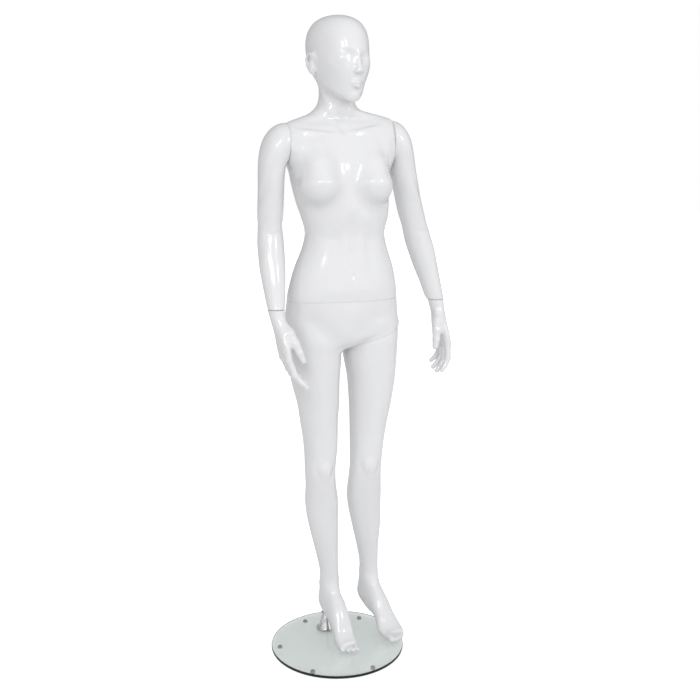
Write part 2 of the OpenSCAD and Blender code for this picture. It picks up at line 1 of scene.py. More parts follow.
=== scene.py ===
"""Full body mannequin on a round glass base, dressed for display.

The moulded pieces are shaped as distance fields: lofts through stations, softly joined, with
the muscles, folds and features pressed in or raised, and then parted where the real figure
comes apart. The hardware is turned on a lathe profile or repeated by Geometry Nodes.
All shapes are given in millimetres from the top of the glass and built in metres.
"""

import logging
import math
from collections.abc import Callable
from dataclasses import dataclass
from enum import Enum

import bmesh
import bpy
import numpy as np
import openvdb as vdb
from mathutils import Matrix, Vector


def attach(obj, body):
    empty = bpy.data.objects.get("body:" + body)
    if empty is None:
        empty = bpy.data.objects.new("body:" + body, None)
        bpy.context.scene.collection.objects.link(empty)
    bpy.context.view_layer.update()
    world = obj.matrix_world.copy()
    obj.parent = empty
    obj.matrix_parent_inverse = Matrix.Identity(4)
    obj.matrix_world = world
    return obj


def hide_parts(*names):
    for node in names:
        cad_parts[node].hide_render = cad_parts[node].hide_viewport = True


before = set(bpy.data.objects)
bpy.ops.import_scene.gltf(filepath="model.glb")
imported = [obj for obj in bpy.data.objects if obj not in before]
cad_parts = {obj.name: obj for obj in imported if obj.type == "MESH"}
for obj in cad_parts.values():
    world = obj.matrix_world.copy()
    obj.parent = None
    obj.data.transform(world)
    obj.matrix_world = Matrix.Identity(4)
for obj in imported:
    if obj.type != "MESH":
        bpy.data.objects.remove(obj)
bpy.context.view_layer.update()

LOG = logging.getLogger("mannequin")
MM = 0.001
BAND = 10.0          # half width of the distance band, in voxels
GLASS_TOP = 14.0     # height of the top of the glass above the floor
LIFT = np.array((0.0, 0.0, GLASS_TOP))
WALL = 4.5           # thickness of the shells at the waist
FADE = 2.6           # how many of its own widths a soft mark is felt
PLUG_RADIUS = 12.0   # room for the fittings of the shoulders and the thigh
PLUG_DEPTH = 24.0
SEAM = 0.3           # open gap at each parting line
MID_X = 24.0         # middle of the chest
SHOULDER_HALF = 148.0
ARMPIT_Z = 1335.0
WAIST_Z = 998.0
THIGH_AT = (115.0, 36.0, 893.0)
THIGH_TILT = 16.0
SPIGOT_AT = (-2.0, 90.0)
HEAD_AT = (17.0, 28.0)
HEAD_YAW = 13.0
THIGH_TURN = 20.0    # how far the left leg turns


# ---- Distance fields ---------------------------------------------------------------


def refined(stations: np.ndarray, steps: int) -> np.ndarray:
    """Adds smooth stations between the given ones.

    Args:
        stations: One row of ten values for each station.
        steps: Intervals made out of each given interval.

    Returns:
        The stations on a Catmull-Rom curve through the given rows.
    """
    padded = np.vstack([stations[:1], stations, stations[-1:]])
    a, b, c, d = padded[:-3], padded[1:-2], padded[2:-1], padded[3:]
    rows = []
    for t in np.arange(steps) / steps:
        rows.append(0.5 * (2 * b + (c - a) * t + (2 * a - 5 * b + 4 * c - d) * t * t
                           + (3 * b - a - 3 * c + d) * t ** 3))
    smooth = np.stack(rows, axis=1).reshape(-1, stations.shape[1])
    return np.vstack([smooth, stations[-1:]])


def signed_power(value: np.ndarray, exponent: np.ndarray) -> np.ndarray:
    """Raises the size of a value to a power and keeps its sign."""
    return np.sign(value) * np.abs(value) ** exponent


def ring_points(stations: np.ndarray, sides: int) -> np.ndarray:
    """Works out the rounded outline at each station.

    Args:
        stations: Rows of x, y, z, roll, pitch, yaw, half width, front, back and fullness.
        sides: Points round each outline.

    Returns:
        An array of stations by sides by three.
    """
    turn = np.radians(stations[:, 3:6])
    roll, pitch, yaw = turn.T
    u = np.stack([np.cos(roll) * np.cos(yaw), np.cos(roll) * np.sin(yaw), np.sin(roll)], 1)
    v = np.stack([-np.sin(yaw) * np.cos(pitch), np.cos(yaw) * np.cos(pitch), np.sin(pitch)], 1)
    angle = np.arange(sides) * math.tau / sides
    power = 2 / stations[:, 9:10]
    across = signed_power(np.cos(angle)[None], power) * stations[:, 6:7]
    deep = signed_power(np.sin(angle)[None], power)
    deep = deep * np.where(deep < 0, stations[:, 7:8], stations[:, 8:9])
    return stations[:, None, :3] + across[..., None] * u[:, None] + deep[..., None] * v[:, None]


def loft_mesh(stations: list, steps: int = 6, sides: int = 72) -> tuple[np.ndarray, np.ndarray]:
    """Makes a closed skin through stations.

    Args:
        stations: The rows, in millimetres.
        steps: Smooth intervals for each given one.
        sides: Points round each outline.

    Returns:
        Vertices in millimetres, and triangles.
    """
    rings = ring_points(refined(np.array(stations, float), steps), sides)
    count = len(rings)
    caps = np.stack([rings[0].mean(0), rings[-1].mean(0)])
    verts = np.vstack([rings.reshape(-1, 3), caps])
    i = np.arange(sides)
    j = (i + 1) % sides
    tris = []
    for r in range(count - 1):
        low, high = r * sides, (r + 1) * sides
        tris.append(np.stack([low + i, low + j, high + i], 1))
        tris.append(np.stack([low + j, high + j, high + i], 1))
    first, last = count * sides, count * sides + 1
    tris.append(np.stack([j, i, np.full(sides, first)], 1))
    top = (count - 1) * sides
    tris.append(np.stack([top + i, top + j, np.full(sides, last)], 1))
    return verts, np.vstack(tris)


class Field:
    """A signed distance field, in millimetres from the top of the glass."""

    def __init__(self, low: tuple, high: tuple, voxel: float) -> None:
        """Opens an empty block.

        Args:
            low: The lowest corner.
            high: The highest corner.
            voxel: The spacing of the points.
        """
        self.voxel = voxel
        self.first = np.floor(np.array(low) / voxel).astype(int)
        self.shape = tuple(np.ceil(np.array(high) / voxel).astype(int) - self.first + 1)
        self.far = BAND * voxel
        self.dist = np.full(self.shape, self.far, np.float32)
        self.whole = self.dist
        self.planes = []

    def window(self, low: np.ndarray, high: np.ndarray) -> tuple[tuple, list[np.ndarray]]:
        """Finds the part of the block between two corners.

        Args:
            low: The lowest corner wanted.
            high: The highest corner wanted.

        Returns:
            The slices, and the x, y and z of their points ready to broadcast.
        """
        slices, axes = [], []
        for axis in range(3):
            a = int(np.clip(np.floor(low[axis] / self.voxel) - self.first[axis], 0, self.shape[axis]))
            b = int(np.clip(np.ceil(high[axis] / self.voxel) - self.first[axis] + 1, a, self.shape[axis]))
            slices.append(slice(a, b))
            shape = [1, 1, 1]
            shape[axis] = b - a
            values = (np.arange(a, b) + self.first[axis]) * self.voxel
            axes.append(values.astype(np.float32).reshape(shape))
        return tuple(slices), axes

    def everywhere(self) -> list[np.ndarray]:
        """Gives the x, y and z of every point, ready to broadcast."""
        low = self.first * self.voxel
        return self.window(low, low + np.array(self.shape) * self.voxel)[1]

    def loft(self, stations: list, steps: int = 6, sides: int = 72) -> np.ndarray:
        """Measures the distance to a loft.

        Args:
            stations: The rows of the loft.
            steps: Smooth intervals for each given one.
            sides: Points round each outline.

        Returns:
            The distance at every point of the block.
        """
        verts, tris = loft_mesh(stations, steps, sides)
        scale = vdb.createLinearTransform(self.voxel)
        grid = vdb.FloatGrid.createLevelSetFromPolygons(
            verts.astype(np.float32), triangles=tris.astype(np.uint32), transform=scale, halfWidth=BAND)
        out = np.full(self.shape, self.far, np.float32)
        grid.copyToArray(out, ijk=tuple(int(v) for v in self.first))
        return out

    def join(self, other: np.ndarray, blend: float = 0.0) -> None:
        """Adds a form, with a fillet of about the given size where the two meet."""
        self.dist = joined(self.dist, other, blend)

    def join_local(self, centre: tuple, reach: float, shape: Callable, blend: float) -> None:
        """Adds a small form whose distance is only worked out near it.

        Args:
            centre: The middle of the form.
            reach: How far from the middle it is felt.
            shape: A function from x, y and z to distance.
            blend: The size of the fillet.
        """
        mid = np.array(centre)
        part, (x, y, z) = self.window(mid - reach, mid + reach)
        self.dist[part] = joined(self.dist[part], shape(x, y, z).astype(np.float32), blend)

    def swell(self, centre: tuple, spread: tuple, amount: float, yaw: float = 0.0) -> None:
        """Raises the surface softly round a point, or presses it in.

        Args:
            centre: The middle of the swelling.
            spread: Its reach across, front to back and upwards.
            amount: Its height, or less than nothing for a hollow.
            yaw: How far the reach is turned about the vertical, in degrees.
        """
        mid, reach = np.array(centre), max(spread) * FADE
        part, (x, y, z) = self.window(mid - reach, mid + reach)
        c, s = math.cos(math.radians(yaw)), math.sin(math.radians(yaw))
        dx, dy = x - centre[0], y - centre[1]
        across, deep = (dx * c + dy * s) / spread[0], (dy * c - dx * s) / spread[1]
        self.dist[part] -= amount * np.exp(-(across ** 2 + deep ** 2 + ((z - centre[2]) / spread[2]) ** 2))

    def on_skin(self, points: np.ndarray) -> np.ndarray:
        """Moves points that lie near the skin onto it.

        Args:
            points: Places in millimetres.

        Returns:
            The moved points.
        """
        out = np.array(points, float)
        for _ in range(4):
            out -= self.sampled(out)[:, None] * self.slope(out)
        return out

    def stroke(self, points: list, width: float, amount: float, free: bool = False) -> None:
        """Raises a ridge along a path on the skin, or presses in a groove.

        Args:
            points: The path.
            width: The reach to each side.
            amount: The height of the ridge, or less than nothing for a groove.
            free: Whether the path is used as it is, without moving it onto the skin.
        """
        path = smooth_path(points if free else self.on_skin(np.array(points, float)))
        if not free:
            path = self.on_skin(path)
            path[1:-1] = 0.25 * path[:-2] + 0.5 * path[1:-1] + 0.25 * path[2:]
        reach = width * FADE
        part, (x, y, z) = self.window(path.min(0) - reach, path.max(0) + reach)
        near = path_distance(path, x, y, z)
        length = np.linalg.norm(np.diff(path, axis=0), axis=1).sum()
        ends = [np.sqrt((x - p[0]) ** 2 + (y - p[1]) ** 2 + (z - p[2]) ** 2) for p in (path[0], path[-1])]
        fade = np.clip(np.minimum(*ends) / (0.25 * length), 0, 1)
        self.dist[part] -= amount * (0.25 + 0.75 * fade) * np.exp(-(near / width) ** 2)

    def cut(self, point: tuple, outward: tuple, part: np.ndarray | None = None) -> None:
        """Takes off everything past a plane.

        Args:
            point: A point on the plane.
            outward: The direction that is taken off.
            part: A distance that limits the cut to where it is less than nothing.
        """
        n = np.array(outward, float)
        n /= np.linalg.norm(n)
        if not self.planes:
            self.whole = self.dist.copy()
        self.planes.append((np.array(point, float), n))
        x, y, z = self.everywhere()
        plane = (x - point[0]) * n[0] + (y - point[1]) * n[1] + (z - point[2]) * n[2]
        if part is not None:
            plane = np.minimum(plane, -part)
        self.dist = np.maximum(self.dist, plane.astype(np.float32))

    def bore(self, point: tuple, along: tuple, radius: float, depth: float) -> None:
        """Cuts a round pocket.

        Args:
            point: The middle of its mouth.
            along: The direction it runs in.
            radius: Its radius.
            depth: Its depth from the mouth.
        """
        n = np.array(along, float)
        n /= np.linalg.norm(n)
        x, y, z = self.everywhere()
        dx, dy, dz = x - point[0], y - point[1], z - point[2]
        t = dx * n[0] + dy * n[1] + dz * n[2]
        radial = np.sqrt(np.maximum(dx ** 2 + dy ** 2 + dz ** 2 - t ** 2, 0)) - radius
        pocket = np.maximum(radial, np.maximum(t - depth, -t - depth))
        self.dist = np.maximum(self.dist, -pocket.astype(np.float32))

    def soften(self, passes: int = 1) -> None:
        """Smooths the field, which rounds off marks smaller than a voxel.

        Args:
            passes: How often it is done.
        """
        for _ in range(passes):
            for axis in range(3):
                d = np.moveaxis(self.dist, axis, 0)
                d[1:-1] = 0.25 * d[:-2] + 0.5 * d[1:-1] + 0.25 * d[2:]

    def polygons(self) -> tuple[np.ndarray, np.ndarray]:
        """Draws the skin where the distance is nothing.

        Returns:
            Vertices in millimetres and quads.
        """
        self.dist[0], self.dist[-1] = self.far, self.far
        self.dist[:, 0], self.dist[:, -1] = self.far, self.far
        self.dist[:, :, 0], self.dist[:, :, -1] = self.far, self.far
        grid = vdb.FloatGrid(self.far)
        grid.transform = vdb.createLinearTransform(self.voxel)
        grid.copyFromArray(np.clip(self.dist, -self.far, self.far), ijk=tuple(int(v) for v in self.first))
        grid.gridClass = vdb.GridClass.LEVEL_SET
        points, quads = grid.convertToQuads(isovalue=0.0)
        return points.astype(np.float64), quads.astype(np.int64)

    def sampled(self, points: np.ndarray, whole: bool = False) -> np.ndarray:
        """Reads the distance between the points of the block.

        Args:
            points: Places in millimetres.
            whole: Whether to read the form as it was before it was parted.

        Returns:
            The distance at each place.
        """
        dist = self.whole if whole else self.dist
        at = points / self.voxel - self.first
        cell = np.clip(np.floor(at).astype(int), 0, np.array(self.shape) - 2)
        f = at - cell
        out = np.zeros(len(points))
        for corner in range(8):
            o = np.array([corner & 1, corner >> 1 & 1, corner >> 2])
            weight = np.prod(np.where(o, f, 1 - f), axis=1)
            i, j, k = (cell + o).T
            out += weight * dist[i, j, k]
        return out

    def slope(self, points: np.ndarray, whole: bool = False) -> np.ndarray:
        """Gives the outward direction of the skin at each place, before it was parted if whole.

        Args:
            points: Places in millimetres.
            whole: Whether the form is taken as it was before it was parted.

        Returns:
            One unit vector for each place.
        """
        step = 0.75 * self.voxel
        parts = []
        for axis in range(3):
            shift = np.zeros(3)
            shift[axis] = step
            parts.append(self.sampled(points + shift, whole) - self.sampled(points - shift, whole))
        out = np.stack(parts, 1)
        return out / np.maximum(np.linalg.norm(out, axis=1, keepdims=True), 1e-9)



def joined(a: np.ndarray, b: np.ndarray, blend: float) -> np.ndarray:
    """Joins two distances, with a fillet where they meet.

    Args:
        a: The first distance.
        b: The second distance.
        blend: The size of the fillet.

    Returns:
        The distance to both together.
    """
    if blend <= 0:
        return np.minimum(a, b)
    h = np.maximum(blend - np.abs(a - b), 0) / blend
    return np.minimum(a, b) - h * h * blend * 0.25


def smooth_path(points: list, steps: int = 5) -> np.ndarray:
    """Gives a smooth path through the points."""
    path = np.array(points, float)
    return refined(path, steps) if len(path) > 2 else path


def path_distance(path: np.ndarray, x: np.ndarray, y: np.ndarray, z: np.ndarray) -> np.ndarray:
    """Measures the distance from each point to the nearest place on a path.

    Args:
        path: The points of the path.
        x: The x of each point.
        y: The y of each point.
        z: The z of each point.

    Returns:
        The distance to the path.
    """
    near = None
    for a, b in zip(path[:-1], path[1:]):
        d = b - a
        t = ((x - a[0]) * d[0] + (y - a[1]) * d[1] + (z - a[2]) * d[2]) / max(float(d @ d), 1e-9)
        t = np.clip(t, 0, 1)
        gap = (x - a[0] - t * d[0]) ** 2 + (y - a[1] - t * d[1]) ** 2 + (z - a[2] - t * d[2]) ** 2
        near = gap if near is None else np.minimum(near, gap)
    return np.sqrt(near)


@dataclass(frozen=True)
class Ball:
    """A rounded form with three radii, turned about the vertical."""

    centre: tuple
    radii: tuple
    yaw: float = 0.0

    def __call__(self, x: np.ndarray, y: np.ndarray, z: np.ndarray) -> np.ndarray:
        """Gives the distance to the form.

        Args:
            x: The x of each point.
            y: The y of each point.
            z: The z of each point.

        Returns:
            The distance at each point.
        """
        c, s = math.cos(math.radians(self.yaw)), math.sin(math.radians(self.yaw))
        dx, dy, dz = x - self.centre[0], y - self.centre[1], z - self.centre[2]
        p = [dx * c + dy * s, dy * c - dx * s, dz]
        near = np.sqrt(sum((q / r) ** 2 for q, r in zip(p, self.radii)))
        steep = np.sqrt(sum((q / r ** 2) ** 2 for q, r in zip(p, self.radii)))
        return near * (near - 1) / np.maximum(steep, 1e-6)

    def into(self, body: Field, blend: float) -> None:
        """Joins the form to a body."""
        body.join_local(self.centre, max(self.radii) + 2.5 * blend + 4, self, blend)


@dataclass(frozen=True)
class Rod:
    """A round form that tapers along a path."""

    path: tuple
    radii: tuple

    def __call__(self, x: np.ndarray, y: np.ndarray, z: np.ndarray) -> np.ndarray:
        """Gives the distance to the form.

        Args:
            x: The x of each point.
            y: The y of each point.
            z: The z of each point.

        Returns:
            The distance at each point.
        """
        out = None
        for (a, b), (r, q) in zip(zip(self.path[:-1], self.path[1:]), zip(self.radii[:-1], self.radii[1:])):
            a, d = np.array(a, float), np.array(b, float) - np.array(a, float)
            t = ((x - a[0]) * d[0] + (y - a[1]) * d[1] + (z - a[2]) * d[2]) / float(d @ d)
            t = np.clip(t, 0, 1)
            gap = np.sqrt((x - a[0] - t * d[0]) ** 2 + (y - a[1] - t * d[1]) ** 2
                          + (z - a[2] - t * d[2]) ** 2) - (r + (q - r) * t)
            out = gap if out is None else joined(out, gap, 0.35 * min(r, q))
        return out

    def into(self, body: Field, blend: float) -> None:
        """Joins the form to a body.

        Args:
            body: The field that it joins.
            blend: The size of the fillet.
        """
        points = np.array(self.path)
        mid = (points.min(0) + points.max(0)) / 2
        reach = float((points.max(0) - points.min(0)).max() / 2 + max(self.radii) + 2.5 * blend + 4)
        body.join_local(tuple(mid), reach, self, blend)


# ---- Stations of the figure -----------------------------------------------------------


def level(z: float, x: float, y: float, half: float, front: float, back: float,
          full: float = 2.0, roll: float = 0.0) -> tuple:
    """Gives a station whose outline lies level, or leans sideways by roll."""
    return (x, y, z, roll, 0, 0, half, front, back, full)


def head_point(across: float, ahead: float, z: float) -> tuple:
    """Turns a place on the head, given across and ahead of its middle, into the figure's own."""
    c, s = math.cos(math.radians(HEAD_YAW)), math.sin(math.radians(HEAD_YAW))
    return (HEAD_AT[0] + ahead * s + across * c, HEAD_AT[1] - ahead * c + across * s, z)


def head_station(z: float, ahead: float, half: float, front: float, back: float,
                 full: float = 2.0) -> tuple:
    """Gives a level station of the head, turned with it."""
    x, y, _ = head_point(0, ahead, z)
    return (x, y, z, 0, 0, HEAD_YAW, half, front, back, full)


def arm_station(side: int, out: float, y: float, z: float, roll: float, half: float,
                front: float, back: float, full: float = 2.0) -> tuple:
    """Gives a station of an arm by its distance out from the shoulder's parting plane."""
    return (MID_X + side * (SHOULDER_HALF + SEAM + out), y, z, side * roll, 0, 0, half, front, back, full)


def foot_station(ankle: tuple, yaw: float, ahead: float, z: float, pitch: float, half: float,
                 front: float, back: float, full: float = 2.0) -> tuple:
    """Gives a station of a raised foot by its distance ahead of the ankle."""
    s, c = math.sin(math.radians(yaw)), math.cos(math.radians(yaw))
    return (ankle[0] + ahead * s, ankle[1] - ahead * c, z, 0, pitch, yaw, half, front, back, full)


TORSO = [
    level(940, 31, 35, 150, 84, 88, 2.2), level(WAIST_Z, 31, 35, 157, 88, 88, 2.2),
    level(1046, 33, 34, 150, 86, 82, 2.2), level(1090, 35, 34, 138, 82, 76, 2.2),
    level(1133, 37, 34, 121.5, 77, 72, 2.15), level(1176, 38, 34, 112, 74, 70, 2.15),
    level(1219, 38, 34, 121, 78, 76, 2.2), level(1256, 33, 34, 129, 80, 84, 2.2),
    level(1301, 28, 34, 136, 80, 92, 2.2), level(1345, 26, 36, 143, 78, 96, 2.2),
    level(1375, 24, 38, 158, 74, 92, 2.3), level(1400, 22, 40, 174, 68, 86, 2.3),
    level(1426, 24, 42, 178, 60, 76, 2.4, 2.5), level(1450, 26, 42, 172, 50, 64, 2.4, 2.5),
    level(1466, 29, 43, 158, 42, 54, 2.3, 2.5), level(1476, 31, 44, 140, 38, 48, 2.1, 2.5),
    level(1485, 30, 45, 110, 40, 46, 2, 2.5), level(1493, 24, 46, 82, 43, 45, 2, 2.5),
    level(1503, 21, 46, 62, 45, 44), level(1515, 19, 46, 52, 46, 44),
    level(1532, 18, 43, 47, 47, 45), level(1552, 17, 38, 47, 48, 47), level(1590, 17, 34, 46, 46, 46)]
HEAD = [
    head_station(1522, 58, 10, 9, 8), head_station(1528, 50, 26, 25, 24),
    head_station(1540, 36, 42, 45, 42, 2.1), head_station(1556, 20, 53, 65, 54, 2.1),
    head_station(1573, 10, 61, 79, 62, 2.15), head_station(1590, 4, 67, 87, 72, 2.15),
    head_station(1612, 1, 72, 92, 84, 2.15), head_station(1640, -2, 75, 95, 93, 2.1),
    head_station(1668, -4, 75.5, 95, 96, 2.05), head_station(1694, -5, 71, 89, 91),
    head_station(1716, -6, 58, 73, 75), head_station(1729, -6, 40, 49, 51),
    head_station(1735, -6, 21, 26, 29), head_station(1737, -6, 5, 6, 7)]
HIPS = [
    level(1050, 33, 34, 149, 86, 82, 2.2), level(WAIST_Z, 31, 35, 157, 88, 88, 2.2),
    level(955, 31, 37, 161, 90, 98, 2.2), level(918, 33, 38, 165, 90, 106, 2.2, 4),
    level(890, 34, 38, 163, 84, 102, 2.2, 11), level(870.6, 37, 38, 144, 64, 84, 2.1, THIGH_TILT)]
LEFT_LEG = [
    level(940, 108, 37, 70, 60, 80, 2.1, 4), level(893, 115, 36, 80, 75, 81, 2.1, THIGH_TILT),
    level(845, 115, 36, 76, 76, 78, 2.1, 8), level(777, 117, 34, 68, 70, 70, 2.05),
    level(709, 114, 32, 61, 63, 62), level(663, 109, 30, 55.5, 58, 56), level(616, 103, 26, 50.5, 53, 50),
    level(569, 98, 22, 47, 50, 46), level(522, 94, 18, 45, 49, 42), level(474, 94, 24, 47.5, 45, 44),
    level(427, 98, 36, 50, 43, 52), level(379, 105, 48, 47, 41, 51), level(330, 114, 58, 43, 38, 46),
    level(257, 124, 71, 33, 31, 36), level(206, 131, 79, 28, 28, 30)]
RIGHT_LEG = [
    level(940, -48, 37, 62, 56, 72, 2.1), level(880, -52, 37, 74, 72, 80, 2.1),
    level(830, -50, 36, 71, 75, 78, 2.1), level(777, -50, 34, 67, 70, 70, 2.05),
    level(709, -43, 31, 58, 62, 61), level(663, -42, 29, 53, 57, 55), level(616, -40, 26, 49, 52, 50),
    level(569, -40, 24, 45.5, 48, 46), level(522, -42, 22, 43, 47, 42), level(474, -38, 28, 43, 43, 44),
    level(427, -32, 38, 47, 42, 50), level(379, -27, 45, 45.5, 39, 50), level(330, -20, 52, 41, 37, 44),
    level(257, -8, 62, 33, 31, 34), level(206, 0, 69, 28, 28, 29)]


def foot_stations(ankle: tuple, yaw: float, broad: float) -> list:
    """Gives the stations of a raised foot, from the ankle to the ball.

    Args:
        ankle: Where the ankle stands, seen from above.
        yaw: How far the toes turn out to the figure's left.
        broad: How full the foot is at its ball, 1 for the plain one.

    Returns:
        The stations, downwards and forwards.
    """
    rows = [(0, 170, 0, 27.5, 27, 27, 2), (0, 140, -15, 28, 34, 35, 2), (2, 106, -35, 28, 48, 49, 2.2),
            (30, 84, -55, 29, 42, 42, 2.2), (58, 67.5, -68, 30, 33, 33, 2.2),
            (82, 44, -75, 32, 28, 29, 2.2), (104, 25, -83, 35.5, 19, 21, 2.4),
            (122, 16.5, -90, 35.5, 12, 14, 2.6), (134, 14, -90, 34, 9, 11, 2.6)]
    out = []
    for ahead, z, pitch, half, front, *rest in rows:
        fuller = 1 + (broad - 1) * min(max(ahead, 0) / 100, 1)
        out.append(foot_station(ankle, yaw, ahead, z, pitch, half, front * fuller, *rest))
    return out


# ---- Moulded pieces -----------------------------------------------------------------------


@dataclass
class Moulding:
    """A moulded shell piece of the figure."""

    name: str
    body: str
    voxel: float
    limit: int = 190000

    def finish(self, form: Field, finish: "Finish") -> bpy.types.Object:
        """Turns a field into a piece of the figure and dresses it.

        Args:
            form: The finished field.
            finish: What the piece is made of.

        Returns:
            The new object.
        """
        points, quads = form.polygons()
        faces = quads[:, ::-1].ravel()
        mesh = bpy.data.meshes.new(self.name)
        mesh.vertices.add(len(points))
        mesh.vertices.foreach_set("co", ((points + LIFT) * MM).ravel())
        mesh.loops.add(len(faces))
        mesh.loops.foreach_set("vertex_index", faces)
        mesh.polygons.add(len(quads))
        mesh.polygons.foreach_set("loop_start", np.arange(0, len(faces), 4))
        mesh.update(calc_edges=True)
        mesh.validate()
        piece = bpy.data.objects.new(self.name, mesh)
        bpy.context.scene.collection.objects.link(piece)
        triangles = 2 * len(quads)
        if triangles > self.limit:
            self.thin(piece, self.limit / triangles)
        self.settle(piece, form)
        finish.dress(piece)
        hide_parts(self.name)
        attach(piece, self.body)
        LOG.info("%s: %d faces", self.name, len(piece.data.polygons))
        return piece

    def fine_part(self, points: np.ndarray) -> np.ndarray | None:
        """Says how far each vertex may be thinned, or None to thin all alike."""
        return None

    def thin(self, piece: bpy.types.Object, share: float) -> None:
        """Takes out faces where the skin is plain.

        Args:
            piece: The object, whose mesh is replaced.
            share: The share of the faces that stays.
        """
        mod = piece.modifiers.new("thin", "DECIMATE")
        mod.ratio = share
        points = np.empty(len(piece.data.vertices) * 3)
        piece.data.vertices.foreach_get("co", points)
        weights = self.fine_part(points.reshape(-1, 3) / MM - LIFT)
        if weights is not None:
            group = piece.vertex_groups.new(name="plain")
            for value in (0.02, 0.5, 1.0):
                members = np.nonzero(weights == value)[0]
                group.add(members.tolist(), value, "REPLACE")
            mod.vertex_group = "plain"
        dg = bpy.context.evaluated_depsgraph_get()
        mesh = bpy.data.meshes.new_from_object(piece.evaluated_get(dg))
        old = piece.data
        piece.modifiers.clear()
        piece.vertex_groups.clear()
        piece.data = mesh
        bpy.data.meshes.remove(old)
        mesh.name = self.name

    def settle(self, piece: bpy.types.Object, form: Field) -> None:
        """Puts every vertex exactly on the skin, sharpens the parting edges and sets the shading.

        Args:
            piece: The object.
            form: The field of the piece.
        """
        mesh = piece.data
        points = np.empty(len(mesh.vertices) * 3)
        mesh.vertices.foreach_get("co", points)
        points = points.reshape(-1, 3) / MM - LIFT
        for _ in range(2):
            points -= np.clip(form.sampled(points), -1, 1)[:, None] * form.slope(points)
        for point, n in form.planes:
            self.sharpen(form, points, point, n)
        mesh.vertices.foreach_set("co", ((points + LIFT) * MM).ravel())
        mesh.polygons.foreach_set("use_smooth", np.ones(len(mesh.polygons), bool))
        mesh.update()
        corners = np.empty(len(mesh.loops), int)
        mesh.loops.foreach_get("vertex_index", corners)
        counts = np.empty(len(mesh.polygons), int)
        mesh.polygons.foreach_get("loop_total", counts)
        face_of = np.repeat(np.arange(len(counts)), counts)
        facing = np.empty(len(counts) * 3)
        mesh.polygons.foreach_get("normal", facing)
        facing = facing.reshape(-1, 3)
        middle = np.empty(len(counts) * 3)
        mesh.polygons.foreach_get("center", middle)
        middle = middle.reshape(-1, 3) / MM - LIFT
        skin = np.abs(form.sampled(middle, True)) < 0.35 * form.voxel
        outer = skin[face_of]
        smooth = self.evened(form.slope(points, True), corners[outer], face_of[outer])
        normals = np.where(outer[:, None], smooth[corners], form.slope(points)[corners])
        for point, n in form.planes:
            flat = (np.abs((middle - point) @ n) < 0.12 * form.voxel) & (facing @ n > 0.8)
            normals[flat[face_of]] = n
        mesh.normals_split_custom_set(normals.tolist())

    @staticmethod
    def evened(normals: np.ndarray, corners: np.ndarray, face_of: np.ndarray, passes: int = 3) -> np.ndarray:
        """Evens out the normals with those of the neighbouring vertices.

        Args:
            normals: One normal for each vertex.
            corners: The vertex of each face corner that takes part.
            face_of: The face of each of those corners.
            passes: How often it is done.

        Returns:
            One normal for each vertex.
        """
        out = normals.copy()
        touched = np.bincount(corners, minlength=len(out)) > 0
        for _ in range(passes):
            for axis in range(3):
                face = np.bincount(face_of, out[corners, axis])
                share = np.bincount(corners, face[face_of], minlength=len(out))
                normals[:, axis] = share
            length = np.linalg.norm(normals, axis=1, keepdims=True)
            out = np.where(touched[:, None], normals / np.maximum(length, 1e-9), out)
        return out

    @staticmethod
    def sharpen(form: Field, points: np.ndarray, point: np.ndarray, n: np.ndarray) -> None:
        """Moves the vertices beside a parting plane out to its exact edge.

        Args:
            form: The field of the piece.
            points: Places in millimetres.
            point: A point on the parting plane.
            n: The direction that points out of the piece.
        """
        off = (points - point) @ n
        past = points + n * form.voxel
        parted = form.sampled(past) - form.sampled(past, True) > 0.3 * form.voxel
        on_edge = np.abs(form.sampled(points, True)) < 0.85 * form.voxel
        near = (np.abs(off) < 0.7 * form.voxel) & on_edge & parted
        edge = points[near]
        for _ in range(3):
            edge -= ((edge - point) @ n)[:, None] * n
            along = form.slope(edge, True)
            along -= (along @ n)[:, None] * n
            along /= np.maximum(np.linalg.norm(along, axis=1, keepdims=True), 0.3)
            edge -= form.sampled(edge, True)[:, None] * along
        points[near] = edge


